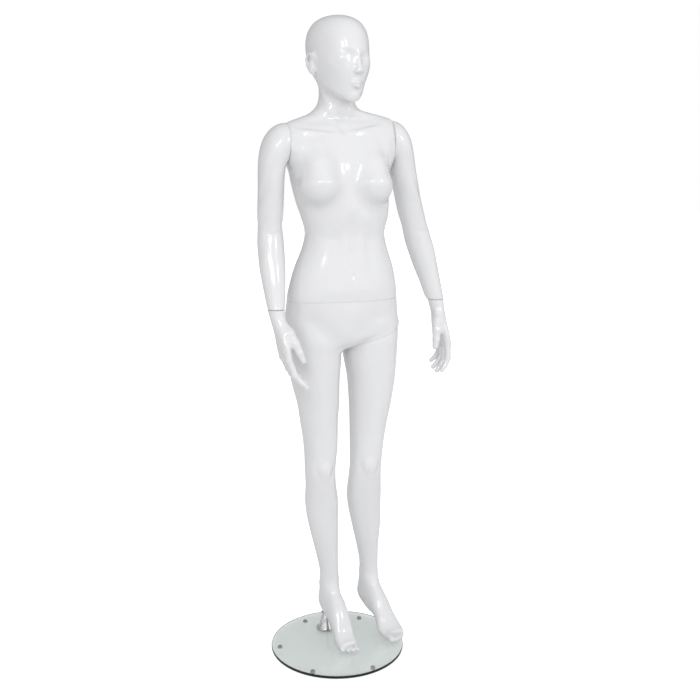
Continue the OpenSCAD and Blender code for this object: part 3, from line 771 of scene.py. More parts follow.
@dataclass
class Torso(Moulding):
    """The chest, neck and head in one moulding, open at the waist."""

    bust: float = 54.0
    bust_z: float = 1306.0

    def build(self, finish: "Finish") -> bpy.types.Object:
        """Shapes the torso.

        Args:
            finish: The white lacquer.

        Returns:
            The piece.
        """
        form = Field((-138, -130, 985), (200, 150, 1752), self.voxel)
        form.join(form.loft(TORSO, 8, 96))
        self.chest(form)
        skull = form.loft(HEAD, 8, 96)
        form.join(skull, 14)
        self.face(form)
        for side in (-1, 1):
            self.ear(form, side)
        self.neck(form)
        self.back(form)
        form.soften(1)
        x, y, z = form.everywhere()
        high_up = 1150 - z + 0 * x + 0 * y
        for side in (-1, 1):
            # the breast and the side of the chest stay clear of the arm below the armpit
            clear = (side * (x - MID_X) - SHOULDER_HALF + 1.5 - 0.8 * np.maximum(z - ARMPIT_Z, 0)
                     - 0.8 * np.maximum(1200 - z, 0) + 0 * y)
            form.dist = -joined(-form.dist, -clear, 14)
        for side in (-1, 1):
            form.cut((MID_X + side * SHOULDER_HALF, 0, 0), (side, 0, 0), high_up)
            mouth = (MID_X + side * SHOULDER_HALF, 42, 1412 if side < 0 else 1424)
            form.bore(mouth, (-side, 0, 0), PLUG_RADIUS, PLUG_DEPTH)
        form.cut((0, 0, WAIST_Z + SEAM), (0, 0, -1))
        hollow = np.maximum(form.loft(TORSO[:5], 4, 72) + WALL, z - WAIST_Z - 9)
        form.dist = np.maximum(form.dist, -hollow)
        return self.finish(form, finish)

    def fine_part(self, points: np.ndarray) -> np.ndarray:
        """Keeps the head fine and lets the trunk be thinned."""
        return np.where(points[:, 2] > 1512, 0.02, np.where(points[:, 2] > 1430, 0.5, 1.0))

    def chest(self, form: Field) -> None:
        """Raises the breasts and presses in the lines of the chest and the belly.

        Args:
            form: The field of the piece.
        """
        for side, x, y in ((-1, -52, -18), (1, 96, -22)):
            slope = ((x - side * 2, 4, 1392), (x, -10, 1352), (x, y, self.bust_z))
            Rod(slope, (28, 41, self.bust)).into(form, 20)
        form.swell((26, -54, 1300), (12, 22, 46), -4)
        form.swell((24, -34, 1392), (16, 20, 34), -2)
        form.stroke([(28, -50, 1245), (31, -45, 1200), (33, -43, 1150), (32, -48, 1095)], 11, -4.6)
        form.swell((31, -54, 1068), (5, 9, 7), -3.5)
        for side in (-1, 1):
            form.stroke([(28 + side * 10, -48, 1238), (29 + side * 45, -34, 1205),
                         (31 + side * 78, -8, 1165)], 15, 2.6)
            form.stroke([(32 + side * 50, -40, 1190), (33 + side * 46, -40, 1130),
                         (32 + side * 54, -48, 1060)], 16, -3)
            form.swell((32 + side * 26, -52, 1150), (20, 16, 50), 2.6)
        form.swell((31, -56, 1030), (70, 26, 40), 2.5)

    def neck(self, form: Field) -> None:
        """Makes the collarbones, the notch between them and the cords of the neck.

        Args:
            form: The field of the piece.
        """
        right = [(-8, -9, 1442), (-30, -8, 1443), (-58, -3, 1445), (-84, 3, 1447), (-106, 10, 1450)]
        left = [(34, -10, 1445), (58, -8, 1450), (80, -5, 1455), (102, 0, 1460), (122, 6, 1464)]
        for path in (right, left):
            form.stroke([(x, y, z - 9) for x, y, z in path], 7.5, 4.6)
            form.stroke([(x, y, z + 1) for x, y, z in path], 4.2, -5)
            form.swell((path[2][0], path[2][1] + 16, path[2][2] + 16), (30, 15, 12), -3)
        form.swell((15, -8, 1447), (9, 14, 10), -6)
        form.stroke([(6, -6, 1452), (-10, 2, 1488), (-26, 20, 1530), (-34, 34, 1560)], 8, 3)
        form.stroke([(24, -6, 1452), (38, 6, 1490), (52, 26, 1530), (58, 40, 1556)], 8, 3)
        form.swell((20, -6, 1500), (12, 14, 22), 1.5)
        for side in (-1, 1):
            form.swell((MID_X + side * 122, -12, 1392), (16, 20, 34), 3)
            form.stroke([(MID_X + side * 140, -22, 1410), (MID_X + side * 130, -26, 1376),
                         (MID_X + side * 112, -24, 1345)], 8, -1.5)

    def back(self, form: Field) -> None:
        """Makes the spine and the shoulder blades.

        Args:
            form: The field of the piece.
        """
        form.stroke([(22, 104, 1450), (25, 134, 1370), (30, 128, 1290), (37, 108, 1190), (36, 110, 1110),
                     (31, 122, 1010)], 15, -6)
        for side in (-1, 1):
            x = 24 + side * 72
            form.swell((x, 126, 1368), (34, 26, 46), 5)
            form.stroke([(x - side * 30, 130, 1400), (x - side * 26, 134, 1350),
                         (x + side * 4, 126, 1312)], 9, 2)
            form.stroke([(x - side * 40, 122, 1395), (x - side * 38, 126, 1345)], 9, -2)
            form.swell((31 + side * 34, 118, 1180), (26, 22, 70), 2.5)
            form.swell((31 + side * 42, 126, 1024), (9, 12, 10), -2.5)

    def face(self, form: Field) -> None:
        """Models a calm, plain face.

        Args:
            form: The field of the piece.
        """
        def rod(path: list, radii: tuple, blend: float) -> None:
            """Adds a tapered form along a path on the head."""
            Rod(tuple(head_point(*p) for p in path), radii).into(form, blend)

        def ball(centre: tuple, radii: tuple, blend: float) -> None:
            """Adds a rounded form on the head."""
            Ball(head_point(*centre), radii, HEAD_YAW).into(form, blend)

        def press(centre: tuple, spread: tuple, amount: float) -> None:
            """Raises or presses in a place on the head."""
            form.swell(head_point(*centre), spread, amount, HEAD_YAW)

        for side in (-1, 1):
            press((side * 30, 92, 1623), (18, 20, 14), -8)
            ball((side * 31, 70, 1621), (16, 15, 13), 12)
            press((side * 28, 94, 1643), (22, 14, 8), 2.2)
            press((side * 50, 66, 1600), (22, 24, 18), 2.6)
            press((side * 48, 66, 1562), (22, 24, 22), -1.6)
            press((side * 68, 42, 1655), (16, 28, 26), -1.6)
        rod([(0, 87, 1640), (0, 93, 1614), (0, 100, 1592)], (5, 5.6, 6.6), 10)
        for side in (-1, 1):
            ball((side * 7.5, 94, 1588.5), (6, 9, 5.5), 5)
        press((0, 92, 1559), (24, 15, 15), 2.4)
        rod([(-17, 86, 1559), (-6, 93, 1562.5), (0, 93.3, 1561.8), (6, 93, 1562.5), (17, 86, 1559)],
            (1.6, 3.8, 3.7, 3.8, 1.6), 4)
        rod([(-15, 86, 1555.5), (0, 92, 1551.5), (15, 86, 1555.5)], (1.8, 4.9, 1.8), 4)
        between = [(-19, 87, 1557), (-8, 95, 1557.8), (0, 96, 1557), (8, 95, 1557.8), (19, 87, 1557)]
        form.stroke([head_point(*p) for p in between], 2.4, -2)
        form.stroke([head_point(0, 96, 1580), head_point(0, 95, 1568)], 3.4, -1)
        press((0, 91, 1540), (17, 10, 6), -2)
        ball((0, 66, 1530), (17, 15, 12), 14)
        jaw = [(-62, 14, 1562), (-50, 40, 1541), (-26, 66, 1524), (0, 76, 1518), (26, 66, 1524),
               (50, 40, 1541), (62, 14, 1562)]
        form.stroke([head_point(*p) for p in jaw], 8, 2.6)

    def ear(self, form: Field, side: int) -> None:
        """Models one ear, -1 for the right and 1 for the left.

        Args:
            form: The field of the piece.
            side: -1 for the right and 1 for the left.
        """
        def at(out: float, ahead: float, z: float) -> tuple:
            """Gives a place beside the head."""
            return head_point(side * out, ahead, z)

        rim = [(71, 8, 1614), (75, 7, 1628), (79, -1, 1637), (83, -14, 1636), (84, -22, 1623),
               (82.5, -20, 1607), (79, -10, 1592), (73, 1, 1582)]
        Rod(tuple(at(*p) for p in rim), (3.4, 3.4, 3.4, 3.6, 3.6, 3.4, 4.2, 3.4)).into(form, 4)
        bowl = [(73, -4, 1628), (75, -9, 1613), (73, -5, 1597)]
        Rod(tuple(at(*p) for p in bowl), (8.5, 9.5, 8)).into(form, 5)
        form.swell(at(82, -8, 1616), (7, 7, 9), -3, HEAD_YAW)


@dataclass(frozen=True)
class Legs:
    """The folds and muscles that the hips and the two legs share."""

    def trunk(self, form: Field) -> None:
        """Marks the hips, the groin and the seat on either piece.

        Args:
            form: The field of the piece.
        """
        for side, x in ((-1, -46), (1, 112)):
            form.swell((x, 112, 908), (54, 44, 54), 13)
            form.stroke([(x - side * 32, 104, 846), (x, 112, 842), (x + side * 34, 96, 852)], 11, -4)
            form.swell((33 + side * 118, 96, 940), (30, 44, 34), -2.5)
            form.swell((33 + side * 112, -24, 985), (28, 30, 30), 2)
        form.stroke([(33, 139, 958), (33, 136, 920), (32, 118, 880), (32, 90, 856)], 13, -11)
        form.stroke([(-106, -12, 982), (-66, -40, 938), (-28, -48, 900), (-4, -46, 876)], 25, -5)
        form.stroke([(136, -18, 980), (98, -40, 950), (56, -50, 922), (22, -46, 886)], 24, -4)
        form.swell((12, -46, 914), (30, 26, 28), 5.5)
        form.swell((28, -52, 960), (50, 22, 32), 2.5)

    def leg(self, form: Field, knee: tuple, calf: tuple, ankle: tuple, inner: int) -> None:
        """Marks the knee, the calf, the shin and the ankle.

        Args:
            form: The field of the piece.
            knee: The middle of the front of the knee.
            calf: The middle of the back of the calf.
            ankle: The middle of the ankle.
            inner: The side the other leg is on.
        """
        x, y, z = knee
        form.swell((x, y - 2, z), (17, 14, 20), 4.5)
        form.swell((x, y + 4, z + 34), (22, 14, 14), -1)
        form.swell((x, y, z - 30), (13, 10, 9), 1.8)
        for side in (-1, 1):
            form.stroke([(x + side * 25, y + 10, z + 22), (x + side * 24, y + 8, z - 4),
                         (x + side * 14, y + 4, z - 26)], 8, -2.6)
            form.swell((x + side * 30, y + 14, z + 62), (16, 22, 34), 2.5)
            higher, back, up = (0, 4, 6) if side == inner else (16, 8, -4)
            form.swell((calf[0] + side * 17, calf[1], calf[2] + higher), (18, 20, 54), 4)
            form.swell((x + side * 20, calf[1] + 4, z + 4), (8, 16, 26), 2.4)
            form.swell((ankle[0] + side * 27, ankle[1] + back, ankle[2] + up), (9, 10, 12), 2.6)
            form.swell((ankle[0] + side * 15, ankle[1] + 25, ankle[2] + 22), (8, 9, 34), -2)
        form.swell((x, calf[1] + 2, z), (14, 16, 24), -3.4)
        form.stroke([(x + inner * 2, y + 10, z - 50), (calf[0] + inner * 4, calf[1] - 84, calf[2] - 20),
                     (ankle[0] + inner * 2, ankle[1] - 30, ankle[2] + 70)], 9, 2)
        form.stroke([(x, y - 6, z + 60), (x - inner * 6, y - 18, z + 150),
                     (x - inner * 16, y - 26, z + 260)], 20, 2.2)

    def foot(self, form: Field, ankle: tuple, yaw: float, inner: int, broad: float) -> None:
        """Adds the heel, the arch and the five toes.

        Args:
            form: The field of the piece.
            ankle: Where the ankle stands, seen from above.
            yaw: How far the toes turn to the figure's left.
            inner: The side that the big toe is on.
            broad: How far the toes are spread, 1 for the plain foot.
        """
        c, s = math.cos(math.radians(yaw)), math.sin(math.radians(yaw))

        def at(out: float, ahead: float, z: float) -> tuple:
            """Gives a place on the foot, out from its middle and ahead of the ankle."""
            side = -inner * out * broad
            return (ankle[0] + ahead * s + side * c, ankle[1] - ahead * c + side * s, z)

        form.swell(at(0, -26, 88), (20, 18, 22), 3)
        form.swell(at(-16, 62, 46), (18, 30, 18), -5)
        form.stroke([at(0, 8, 130), at(-2, 40, 96), at(-10, 80, 56), at(-18, 110, 30)], 8, 1.6)
        form.swell(at(-34, 104, 22), (10, 16, 12), 3.5)
        form.swell(at(33, 96, 22), (9, 20, 11), 2)
        toes = ((-25.5, -24, 162, 10.2), (-8.8, -9.5, 163, 7.6), (4.5, 3.2, 159, 7.2), (17, 14.8, 152.5, 6.8),
                (29, 25.6, 143.5, 6.4))
        for root, tip, reach, r in toes:
            path = (at(root, reach - 44, r + 6.5), at((root + tip) / 2, reach - 20, r + 3.6),
                    at(tip, reach - 8 - r * 0.2, r * 0.98 + 0.9), at(tip, reach - r, r * 0.85 + 0.5))
            Rod(path, (r * 1.02, r * 0.92, r * 0.98, r * 0.82)).into(form, 4 if r < 9 else 5)
            form.swell(at(tip, reach - r * 0.35, r * 1.7), (r * 0.62, r * 0.55, r * 0.5), -0.7, yaw)
        for (a, _, reach, _), (b, _, other, _) in zip(toes[:-1], toes[1:]):
            gap, end = (a + b) / 2 + (1.2 if a < -20 else 0), min(reach, other)
            path = [at(gap, end - 30, 17), at(gap * 0.97, end - 16, 11), at(gap * 0.94, end - 4, 6)]
            form.stroke(path, 2.6, -3.4, free=True)


@dataclass
class LowerBody(Moulding):
    """The hips with the right leg and foot, which carries the heel socket."""

    marks: Legs = Legs()

    def build(self, finish: "Finish") -> bpy.types.Object:
        """Shapes the hips and the right leg.

        Args:
            finish: What the piece is made of.

        Returns:
            The piece.
        """
        form = Field((-146, -116, -2), (206, 176, 1006), self.voxel)
        across = math.sin(math.radians(THIGH_TILT)), 0, -math.cos(math.radians(THIGH_TILT))
        form.join(form.loft(HIPS, 8, 96))
        form.join(form.loft(LEFT_LEG[:3], 8, 96), 12)
        uncut = form.dist.copy()
        form.cut(THIGH_AT, across)
        ankle, yaw, broad = (3, 72), 7, 1.12
        right = form.loft(RIGHT_LEG + foot_stations(ankle, yaw, broad), 8, 84)
        form.join(right, 22)
        taken = form.dist - joined(uncut, right, 22)
        self.marks.trunk(form)
        self.marks.leg(form, (-40, -25, 526), (-32, 84, 430), (3, 72, 158), 1)
        self.marks.foot(form, ankle, yaw, 1, broad)
        form.soften(1)
        form.whole = form.dist - taken
        x, y, z = form.everywhere()
        form.cut(THIGH_AT, across, 34 - x + 0 * y + 0 * z)
        form.bore(THIGH_AT, (-across[0], 0, -across[2]), PLUG_RADIUS, PLUG_DEPTH)
        form.bore((*SPIGOT_AT, 40), (0, 0, 1), 8.8, 98.5)
        form.cut((0, 0, WAIST_Z), (0, 0, 1))
        hollow = np.maximum(form.loft(HIPS[:4], 4, 72) + WALL, WAIST_Z - 14 - z)
        form.dist = np.maximum(form.dist, -hollow)
        form.cut((0, 0, 0.2), (0, 0, -1))
        return self.finish(form, finish)

    def fine_part(self, points: np.ndarray) -> np.ndarray:
        """Keeps the foot fine and lets the rest be thinned."""
        return np.where(points[:, 2] < 60, 0.02, np.where(points[:, 2] < 120, 0.5, 1.0))


@dataclass
class LeftLeg(Moulding):
    """The left leg, which comes off at the thigh."""

    marks: Legs = Legs()

    def build(self, finish: "Finish") -> bpy.types.Object:
        """Shapes the left leg.

        Args:
            finish: What the piece is made of.

        Returns:
            The piece.
        """
        form = Field((30, -112, -2), (206, 170, 925), self.voxel)
        ankle, yaw, broad = (134, 84), 12, 0.97
        form.join(form.loft(LEFT_LEG + foot_stations(ankle, yaw, broad), 8, 84))
        form.join(form.loft(HIPS, 8, 96), 12)
        self.marks.trunk(form)
        self.marks.leg(form, (91, -28, 524), (98, 84, 430), (134, 84, 158), -1)
        self.marks.foot(form, ankle, yaw, -1, broad)
        form.soften(1)
        across = -math.sin(math.radians(THIGH_TILT)), 0, math.cos(math.radians(THIGH_TILT))
        below = tuple(p - SEAM * n for p, n in zip(THIGH_AT, across))
        form.cut(below, across)
        form.bore(below, (-across[0], 0, -across[2]), PLUG_RADIUS, PLUG_DEPTH)
        # the back of the thigh stays clear of the hips when the leg is turned as far as it goes
        x, y, z = form.everywhere()
        turn = math.radians(THIGH_TURN)
        clear = (math.sin(turn) * (y - THIGH_AT[1]) - math.cos(turn) * (x - THIGH_AT[0]) - 80
                 - 0.8 * np.maximum(840 - z, 0))
        form.dist = -joined(-form.dist, -clear, 4)
        form.cut((37, 0, 0), (-1, 0, 0))
        form.cut((0, 0, 0.2), (0, 0, -1))
        return self.finish(form, finish)

    def fine_part(self, points: np.ndarray) -> np.ndarray:
        """Keeps the foot fine and lets the rest be thinned."""
        return np.where(points[:, 2] < 60, 0.02, np.where(points[:, 2] < 120, 0.5, 1.0))


class Side(Enum):
    """Which side of the figure a limb is on."""

    RIGHT = -1
    LEFT = 1


RIGHT_ARM = ((0, 42, 1412, 90, 52.5, 46, 52, 2.2), (15, 42, 1407, 75, 51, 48, 52, 2.15),
             (29, 42, 1391, 55, 46, 48, 50, 2.1), (37, 43, 1367, 32, 39, 46, 47),
             (40, 44, 1334, 10, 35, 42, 44), (40.5, 46, 1301, 0, 34, 40, 42),
             (42, 50, 1240, 0, 34, 37, 40), (43, 53, 1197, 0, 32.5, 34, 37),
             (43.5, 49, 1155, 0, 35.5, 35, 36), (46, 28, 1092, 0, 34.5, 33, 34),
             (48, 10, 1048, 0, 30.5, 29, 29), (51, -12, 1005, 0, 25.5, 24, 24), (53, -23, 984, 0, 22, 21, 21))
LEFT_ARM = ((0, 42, 1424, 90, 54, 46, 52, 2.2), (16, 42, 1419, 75, 51, 48, 52, 2.15),
            (29, 42, 1401, 55, 44, 48, 50, 2.1), (37, 44, 1375, 35, 38, 46, 47),
            (45, 47, 1337, 18, 35.5, 42, 44), (55, 50, 1301, 12, 35, 40, 42),
            (73, 58, 1240, 12, 35, 37, 40), (88, 62, 1197, 14, 35, 34, 37),
            (101, 64, 1155, 15, 37, 35, 36), (119, 56, 1090, 15, 34, 33, 34),
            (131, 48, 1046, 15, 30, 29, 29), (141, 40, 1002, 12, 26.5, 25, 25), (147, 36, 982, 0, 24, 22, 22))


@dataclass
class Arm(Moulding):
    """An arm from the shoulder's parting plane down to the wrist."""

    side: Side = Side.RIGHT
    rows: tuple = RIGHT_ARM

    def build(self, finish: "Finish") -> bpy.types.Object:
        """Shapes the arm.

        Args:
            finish: What the piece is made of.

        Returns:
            The piece.
        """
        sign = self.side.value
        stations = [arm_station(sign, *row) for row in self.rows]
        places = np.array(stations)[:, :3]
        low, high = places.min(0) - (62, 62, 8), places.max(0) + (62, 62, 62)
        form = Field(low, high, self.voxel)
        form.join(form.loft(stations, 8, 84))
        wrist = stations[-1][:3]
        self.muscles(form, stations, sign)
        form.soften(1)
        start = MID_X + sign * (SHOULDER_HALF + SEAM)
        form.cut((start, 0, 0), (-sign, 0, 0))
        form.bore((start, 42, self.rows[0][2]), (sign, 0, 0), PLUG_RADIUS, PLUG_DEPTH)
        form.cut(wrist, (0, 0, -1))
        form.bore(wrist, (0, 0, 1), 10, 16)
        return self.finish(form, finish)

    @staticmethod
    def muscles(form: Field, s: list, sign: int) -> None:
        """Marks the shoulder muscle, the upper arm, the elbow and the forearm.

        Args:
            form: The field of the piece.
            s: The stations of the arm.
            sign: -1 for the right and 1 for the left.
        """
        elbow, forearm, wrist = s[8], s[9], s[12]
        form.swell((s[4][0], s[4][1] - 40, s[5][2]), (20, 14, 46), 2.4)
        form.swell((s[5][0], s[5][1] + 40, s[5][2] + 6), (22, 14, 56), 2.2)
        form.stroke([(s[3][0] + sign * 6, s[3][1] - 44, s[3][2] - 4),
                     (s[4][0] + sign * 22, s[4][1] - 30, s[4][2] - 26),
                     (s[5][0] + sign * 30, s[5][1] - 4, s[5][2] - 36)], 10, -2)
        form.swell((elbow[0] + sign * 4, elbow[1] + 38, elbow[2] + 18), (11, 9, 13), 4)
        form.swell((elbow[0] + sign * 30, elbow[1] + 20, elbow[2] + 14), (9, 9, 12), -2)
        form.stroke([(elbow[0] - 22, elbow[1] - 26, elbow[2] + 26), (elbow[0], elbow[1] - 36, elbow[2] + 22),
                     (elbow[0] + 22, elbow[1] - 26, elbow[2] + 26)], 6, -1.8)
        form.swell((forearm[0] + sign * 22, forearm[1] - 18, forearm[2] + 36), (16, 14, 42), 2.6)
        form.swell((wrist[0] + sign * 12, wrist[1] + 19, wrist[2] + 16), (7, 7, 9), 2.6)
        form.stroke([(wrist[0] - sign * 2, wrist[1] - 22, wrist[2] + 4),
                     (wrist[0] - sign * 2, wrist[1] - 26, wrist[2] + 52)], 4, 0.8)


@dataclass(frozen=True)
class Digit:
    """One finger: its place across the palm, its length, its thickness and its bend."""

    across: float
    length: float
    radius: float
    bend: float
    spread: float

    def joints(self) -> tuple:
        """Gives the middle of each joint, from inside the palm to the tip.

        Returns:
            Five points, from inside the palm to the tip.
        """
        shares, turns = (0.46, 0.29, 0.2), (0.7, 2.0, 2.6)
        points = [np.array([self.across * 0.94, 1.0, -104.0]), np.array([self.across, 0.0, -127.0])]
        for share, turn in zip(shares, turns):
            angle = math.radians(self.bend * turn)
            step = np.array([math.sin(math.radians(self.spread)), -math.sin(angle), -math.cos(angle)])
            points.append(points[-1] + share * self.length * step)
        return tuple(tuple(p) for p in points)


FINGERS = (Digit(28, 86, 8.8, 17, 0.5), Digit(9.5, 94, 9.0, 19, 0), Digit(-9.5, 89, 8.6, 21, -0.5),
           Digit(-27, 72, 7.6, 23, -1.5))


@dataclass
class Hand(Moulding):
    """A hand that hangs from the wrist's parting plane."""

    side: Side = Side.RIGHT
    wrist: tuple = (0, 0, 0)
    lean: tuple = (0, 0)

    def placed(self, points: np.ndarray) -> np.ndarray:
        """Turns points of the drawn hand, thumb to +X and palm to -Y, into the figure's own.

        Args:
            points: Places in millimetres.

        Returns:
            The same points on the figure.
        """
        p = np.array(points, float)
        if self.side is Side.RIGHT:
            p = np.stack([p[..., 1], p[..., 0] * -1, p[..., 2]], -1) * [-1, 1, 1]
        else:
            p = np.stack([p[..., 1], -p[..., 0], p[..., 2]], -1)
        p = p + np.stack([-self.lean[0] * p[..., 2], -self.lean[1] * p[..., 2], 0 * p[..., 2]], -1)
        return p + np.array(self.wrist) - [0, 0, SEAM]

    def place(self, *point: float) -> tuple:
        """Places one point of the drawn hand."""
        return tuple(self.placed(np.array(point)))

    def build(self, finish: "Finish") -> bpy.types.Object:
        """Shapes the hand.

        Args:
            finish: What the piece is made of.

        Returns:
            The piece.
        """
        mid = self.placed(np.array([0, -18, -118]))
        form = Field(mid - (72, 66, 124), mid + (72, 66, 126), self.voxel)
        palm = [(0, 0, 8, 22, 22.5, 22.5, 2), (0, 0, 0, 22, 22.5, 22.5, 2), (0, 0, -34, 23, 19, 19, 2.1),
                (1, 0, -64, 32, 18, 15, 2.3), (1, 0, -94, 38.5, 14, 13, 2.5), (0, 0, -116, 38.5, 11, 11, 2.7),
                (0, 0, -127, 36, 7.5, 8.5, 2.7)]
        form.join(self.palm(form, palm))
        for finger in FINGERS:
            self.finger(form, finger)
        self.thumb(form)
        self.marks(form)
        form.soften(1)
        top = (self.wrist[0], self.wrist[1], self.wrist[2] - SEAM)
        form.cut(top, (0, 0, 1))
        form.bore(top, (0, 0, -1), 14.3, 2.2)
        form.bore(top, (0, 0, -1), 3.8, 22.3)
        return self.finish(form, finish)

    def palm(self, form: Field, rows: list) -> np.ndarray:
        """Lofts the back and the palm of the hand, leaning with the arm.

        Args:
            form: The field of the piece.
            rows: The width and depth of the hand down its length.

        Returns:
            The distance to the palm.
        """
        stations = []
        for x, y, z, half, front, back, full in rows:
            px, py, pz = self.place(x, y, z)
            # the drawn hand's width runs front to back once it hangs at the side
            sides = (front, back) if self.side is Side.RIGHT else (back, front)
            stations.append((px, py, pz, 0, 0, 90, half, *sides, full))
        return form.loft(stations, 6, 72)

    def finger(self, form: Field, finger: Digit) -> None:
        """Adds one finger with its joints, its nail and the crease at each joint.

        Args:
            form: The field of the piece.
            finger: The finger.
        """
        r = finger.radius
        joints = finger.joints()
        path = tuple(self.place(*p) for p in joints)
        Rod(path, (r * 0.95, r, r * 0.93, r * 0.82, r * 0.7)).into(form, 4.5)
        for joint, amount in ((joints[1], 1.5), (joints[2], 1.0), (joints[3], 0.6)):
            form.swell(self.place(joint[0], joint[1] + r * 0.9, joint[2]), (r * 0.7,) * 3, amount)
            form.stroke([self.place(joint[0] - r * 0.8, joint[1] - r * 0.8, joint[2]),
                         self.place(joint[0] + r * 0.8, joint[1] - r * 0.8, joint[2])], 1.6, -0.7)
        last, tip = np.array(joints[3]), np.array(joints[4])
        along = (tip - last) / np.linalg.norm(tip - last)
        out = np.array([0, along[2] * -1, along[1]])
        out = out * (1 if out[1] > 0 else -1)
        nail = tip + out * r * 0.72 - along * r * 0.05
        form.swell(self.place(*nail), (r * 0.5,) * 3, 0.5)
        rim = [nail - along * r * 0.9 + np.array([s * r * 0.5, 0, 0]) for s in (-1, 0, 1)]
        form.stroke([self.place(*p) for p in rim], 1.1, -0.5)

    def thumb(self, form: Field) -> None:
        """Adds the thumb and the pad at its root.

        Args:
            form: The field of the piece.
        """
        joints = [(10, -3, -36), (20, -15, -60), (25, -26, -86), (26, -33, -110), (24, -39, -131)]
        Rod(tuple(self.place(*p) for p in joints), (12, 15.5, 12.4, 10.4, 8.4)).into(form, 10)
        form.swell(self.place(14, -18, -62), (14, 14, 22), 2)
        form.swell(self.place(31, -21, -86), (8, 8, 8), 1.5)
        form.swell(self.place(32, -30, -110), (7, 7, 7), 0.9)
        nail = np.array([31, -38, -130])
        form.swell(self.place(*nail), (5, 5, 6), 0.6)
        rim = [(29, -44, -125), (33, -37, -121), (30, -30, -125)]
        form.stroke([self.place(*p) for p in rim], 1.2, -0.5)

    def marks(self, form: Field) -> None:
        """Marks the webs, the tendons and the hollow of the palm.

        Args:
            form: The field of the piece.
        """
        form.swell(self.place(-2, -18, -92), (20, 9, 26), -4)
        form.swell(self.place(-26, -14, -84), (11, 9, 26), 2.4)
        for finger in FINGERS:
            tendon = [self.place(finger.across * 0.7, 15, -78), self.place(finger.across, 12, -114)]
            form.stroke(tendon, 4.2, 0.6)
        for a, b in zip(FINGERS[:-1], FINGERS[1:]):
            gap = (a.across + b.across) / 2
            web = [self.place(gap * 0.98, 11, -112), self.place(gap, 7, -134)]
            form.stroke(web, 2.6, -1.8, free=True)
            form.stroke([self.place(gap, -9, -122), self.place(gap, -7, -136)], 2.4, -1.4, free=True)


# ---- Finishes --------------------------------------------------------------------------------


class Sockets:
    """Adds nodes to a tree and joins them up, left to right."""

    def __init__(self, tree: bpy.types.NodeTree) -> None:
        """Keeps the tree and clears it."""
        self.tree = tree
        tree.nodes.clear()
        self.count = 0

    def add(self, kind: str, **values: object) -> bpy.types.Node:
        """Adds a node.

        Args:
            kind: The node's type.
            values: Settings of the node, or values of its inputs, with _ for a space.

        Returns:
            The node.
        """
        node = self.tree.nodes.new(kind)
        node.location = (180 * self.count, 0)
        self.count += 1
        for key, value in values.items():
            name = key.replace("_", " ")
            if hasattr(node, key) and key not in node.inputs:
                setattr(node, key, value)
            elif isinstance(value, bpy.types.NodeSocket):
                self.tree.links.new(value, node.inputs[name])
            else:
                node.inputs[name].default_value = value
        return node

    def link(self, source: bpy.types.NodeSocket, target: bpy.types.NodeSocket) -> None:
        """Joins an output to an input."""
        self.tree.links.new(source, target)


def node_group(name: str, inputs: dict, outputs: dict) -> tuple[bpy.types.NodeTree, Sockets, object, object]:
    """Starts a shader node group.

    Args:
        name: The group's name.
        inputs: Names and default values.
        outputs: Names and socket types.

    Returns:
        The group, its node adder, and its input and output nodes.
    """
    group = bpy.data.node_groups.new(name, "ShaderNodeTree")
    for key, value in inputs.items():
        kind = "NodeSocketColor" if isinstance(value, tuple) else "NodeSocketFloat"
        group.interface.new_socket(key, in_out="INPUT", socket_type=kind).default_value = value
    for key, kind in outputs.items():
        group.interface.new_socket(key, in_out="OUTPUT", socket_type=kind)
    make = Sockets(group)
    return group, make, make.add("NodeGroupInput"), make.add("NodeGroupOutput")


def mottle_group() -> bpy.types.NodeTree:
    """Builds the group that drifts a colour and a roughness across a surface.

    Returns:
        The group.
    """
    group, make, source, target = node_group(
        "soft_mottle",
        {"Scale": 8.0, "Detail": 2.0, "Light": (1.0, 1.0, 1.0, 1), "Dark": (0.9, 0.9, 0.9, 1),
         "Smooth": 0.1, "Rough": 0.2},
        {"Color": "NodeSocketColor", "Roughness": "NodeSocketFloat", "Mask": "NodeSocketFloat"})
    coords = make.add("ShaderNodeTexCoord")
    noise = make.add("ShaderNodeTexNoise", Vector=coords.outputs["Object"], Scale=source.outputs["Scale"],
                     Detail=source.outputs["Detail"])
    mask = make.add("ShaderNodeMapRange", Value=noise.outputs["Fac"], interpolation_type="SMOOTHSTEP")
    mask.inputs["From Min"].default_value, mask.inputs["From Max"].default_value = 0.32, 0.7
    tint = make.add("ShaderNodeMix", data_type="RGBA")
    make.link(mask.outputs["Result"], tint.inputs["Factor"])
    make.link(source.outputs["Light"], tint.inputs[6])
    make.link(source.outputs["Dark"], tint.inputs[7])
    rough = make.add("ShaderNodeMapRange", Value=mask.outputs["Result"])
    make.link(source.outputs["Smooth"], rough.inputs["To Min"])
    make.link(source.outputs["Rough"], rough.inputs["To Max"])
    make.link(tint.outputs[2], target.inputs["Color"])
    make.link(rough.outputs["Result"], target.inputs["Roughness"])
    make.link(mask.outputs["Result"], target.inputs["Mask"])
    return group


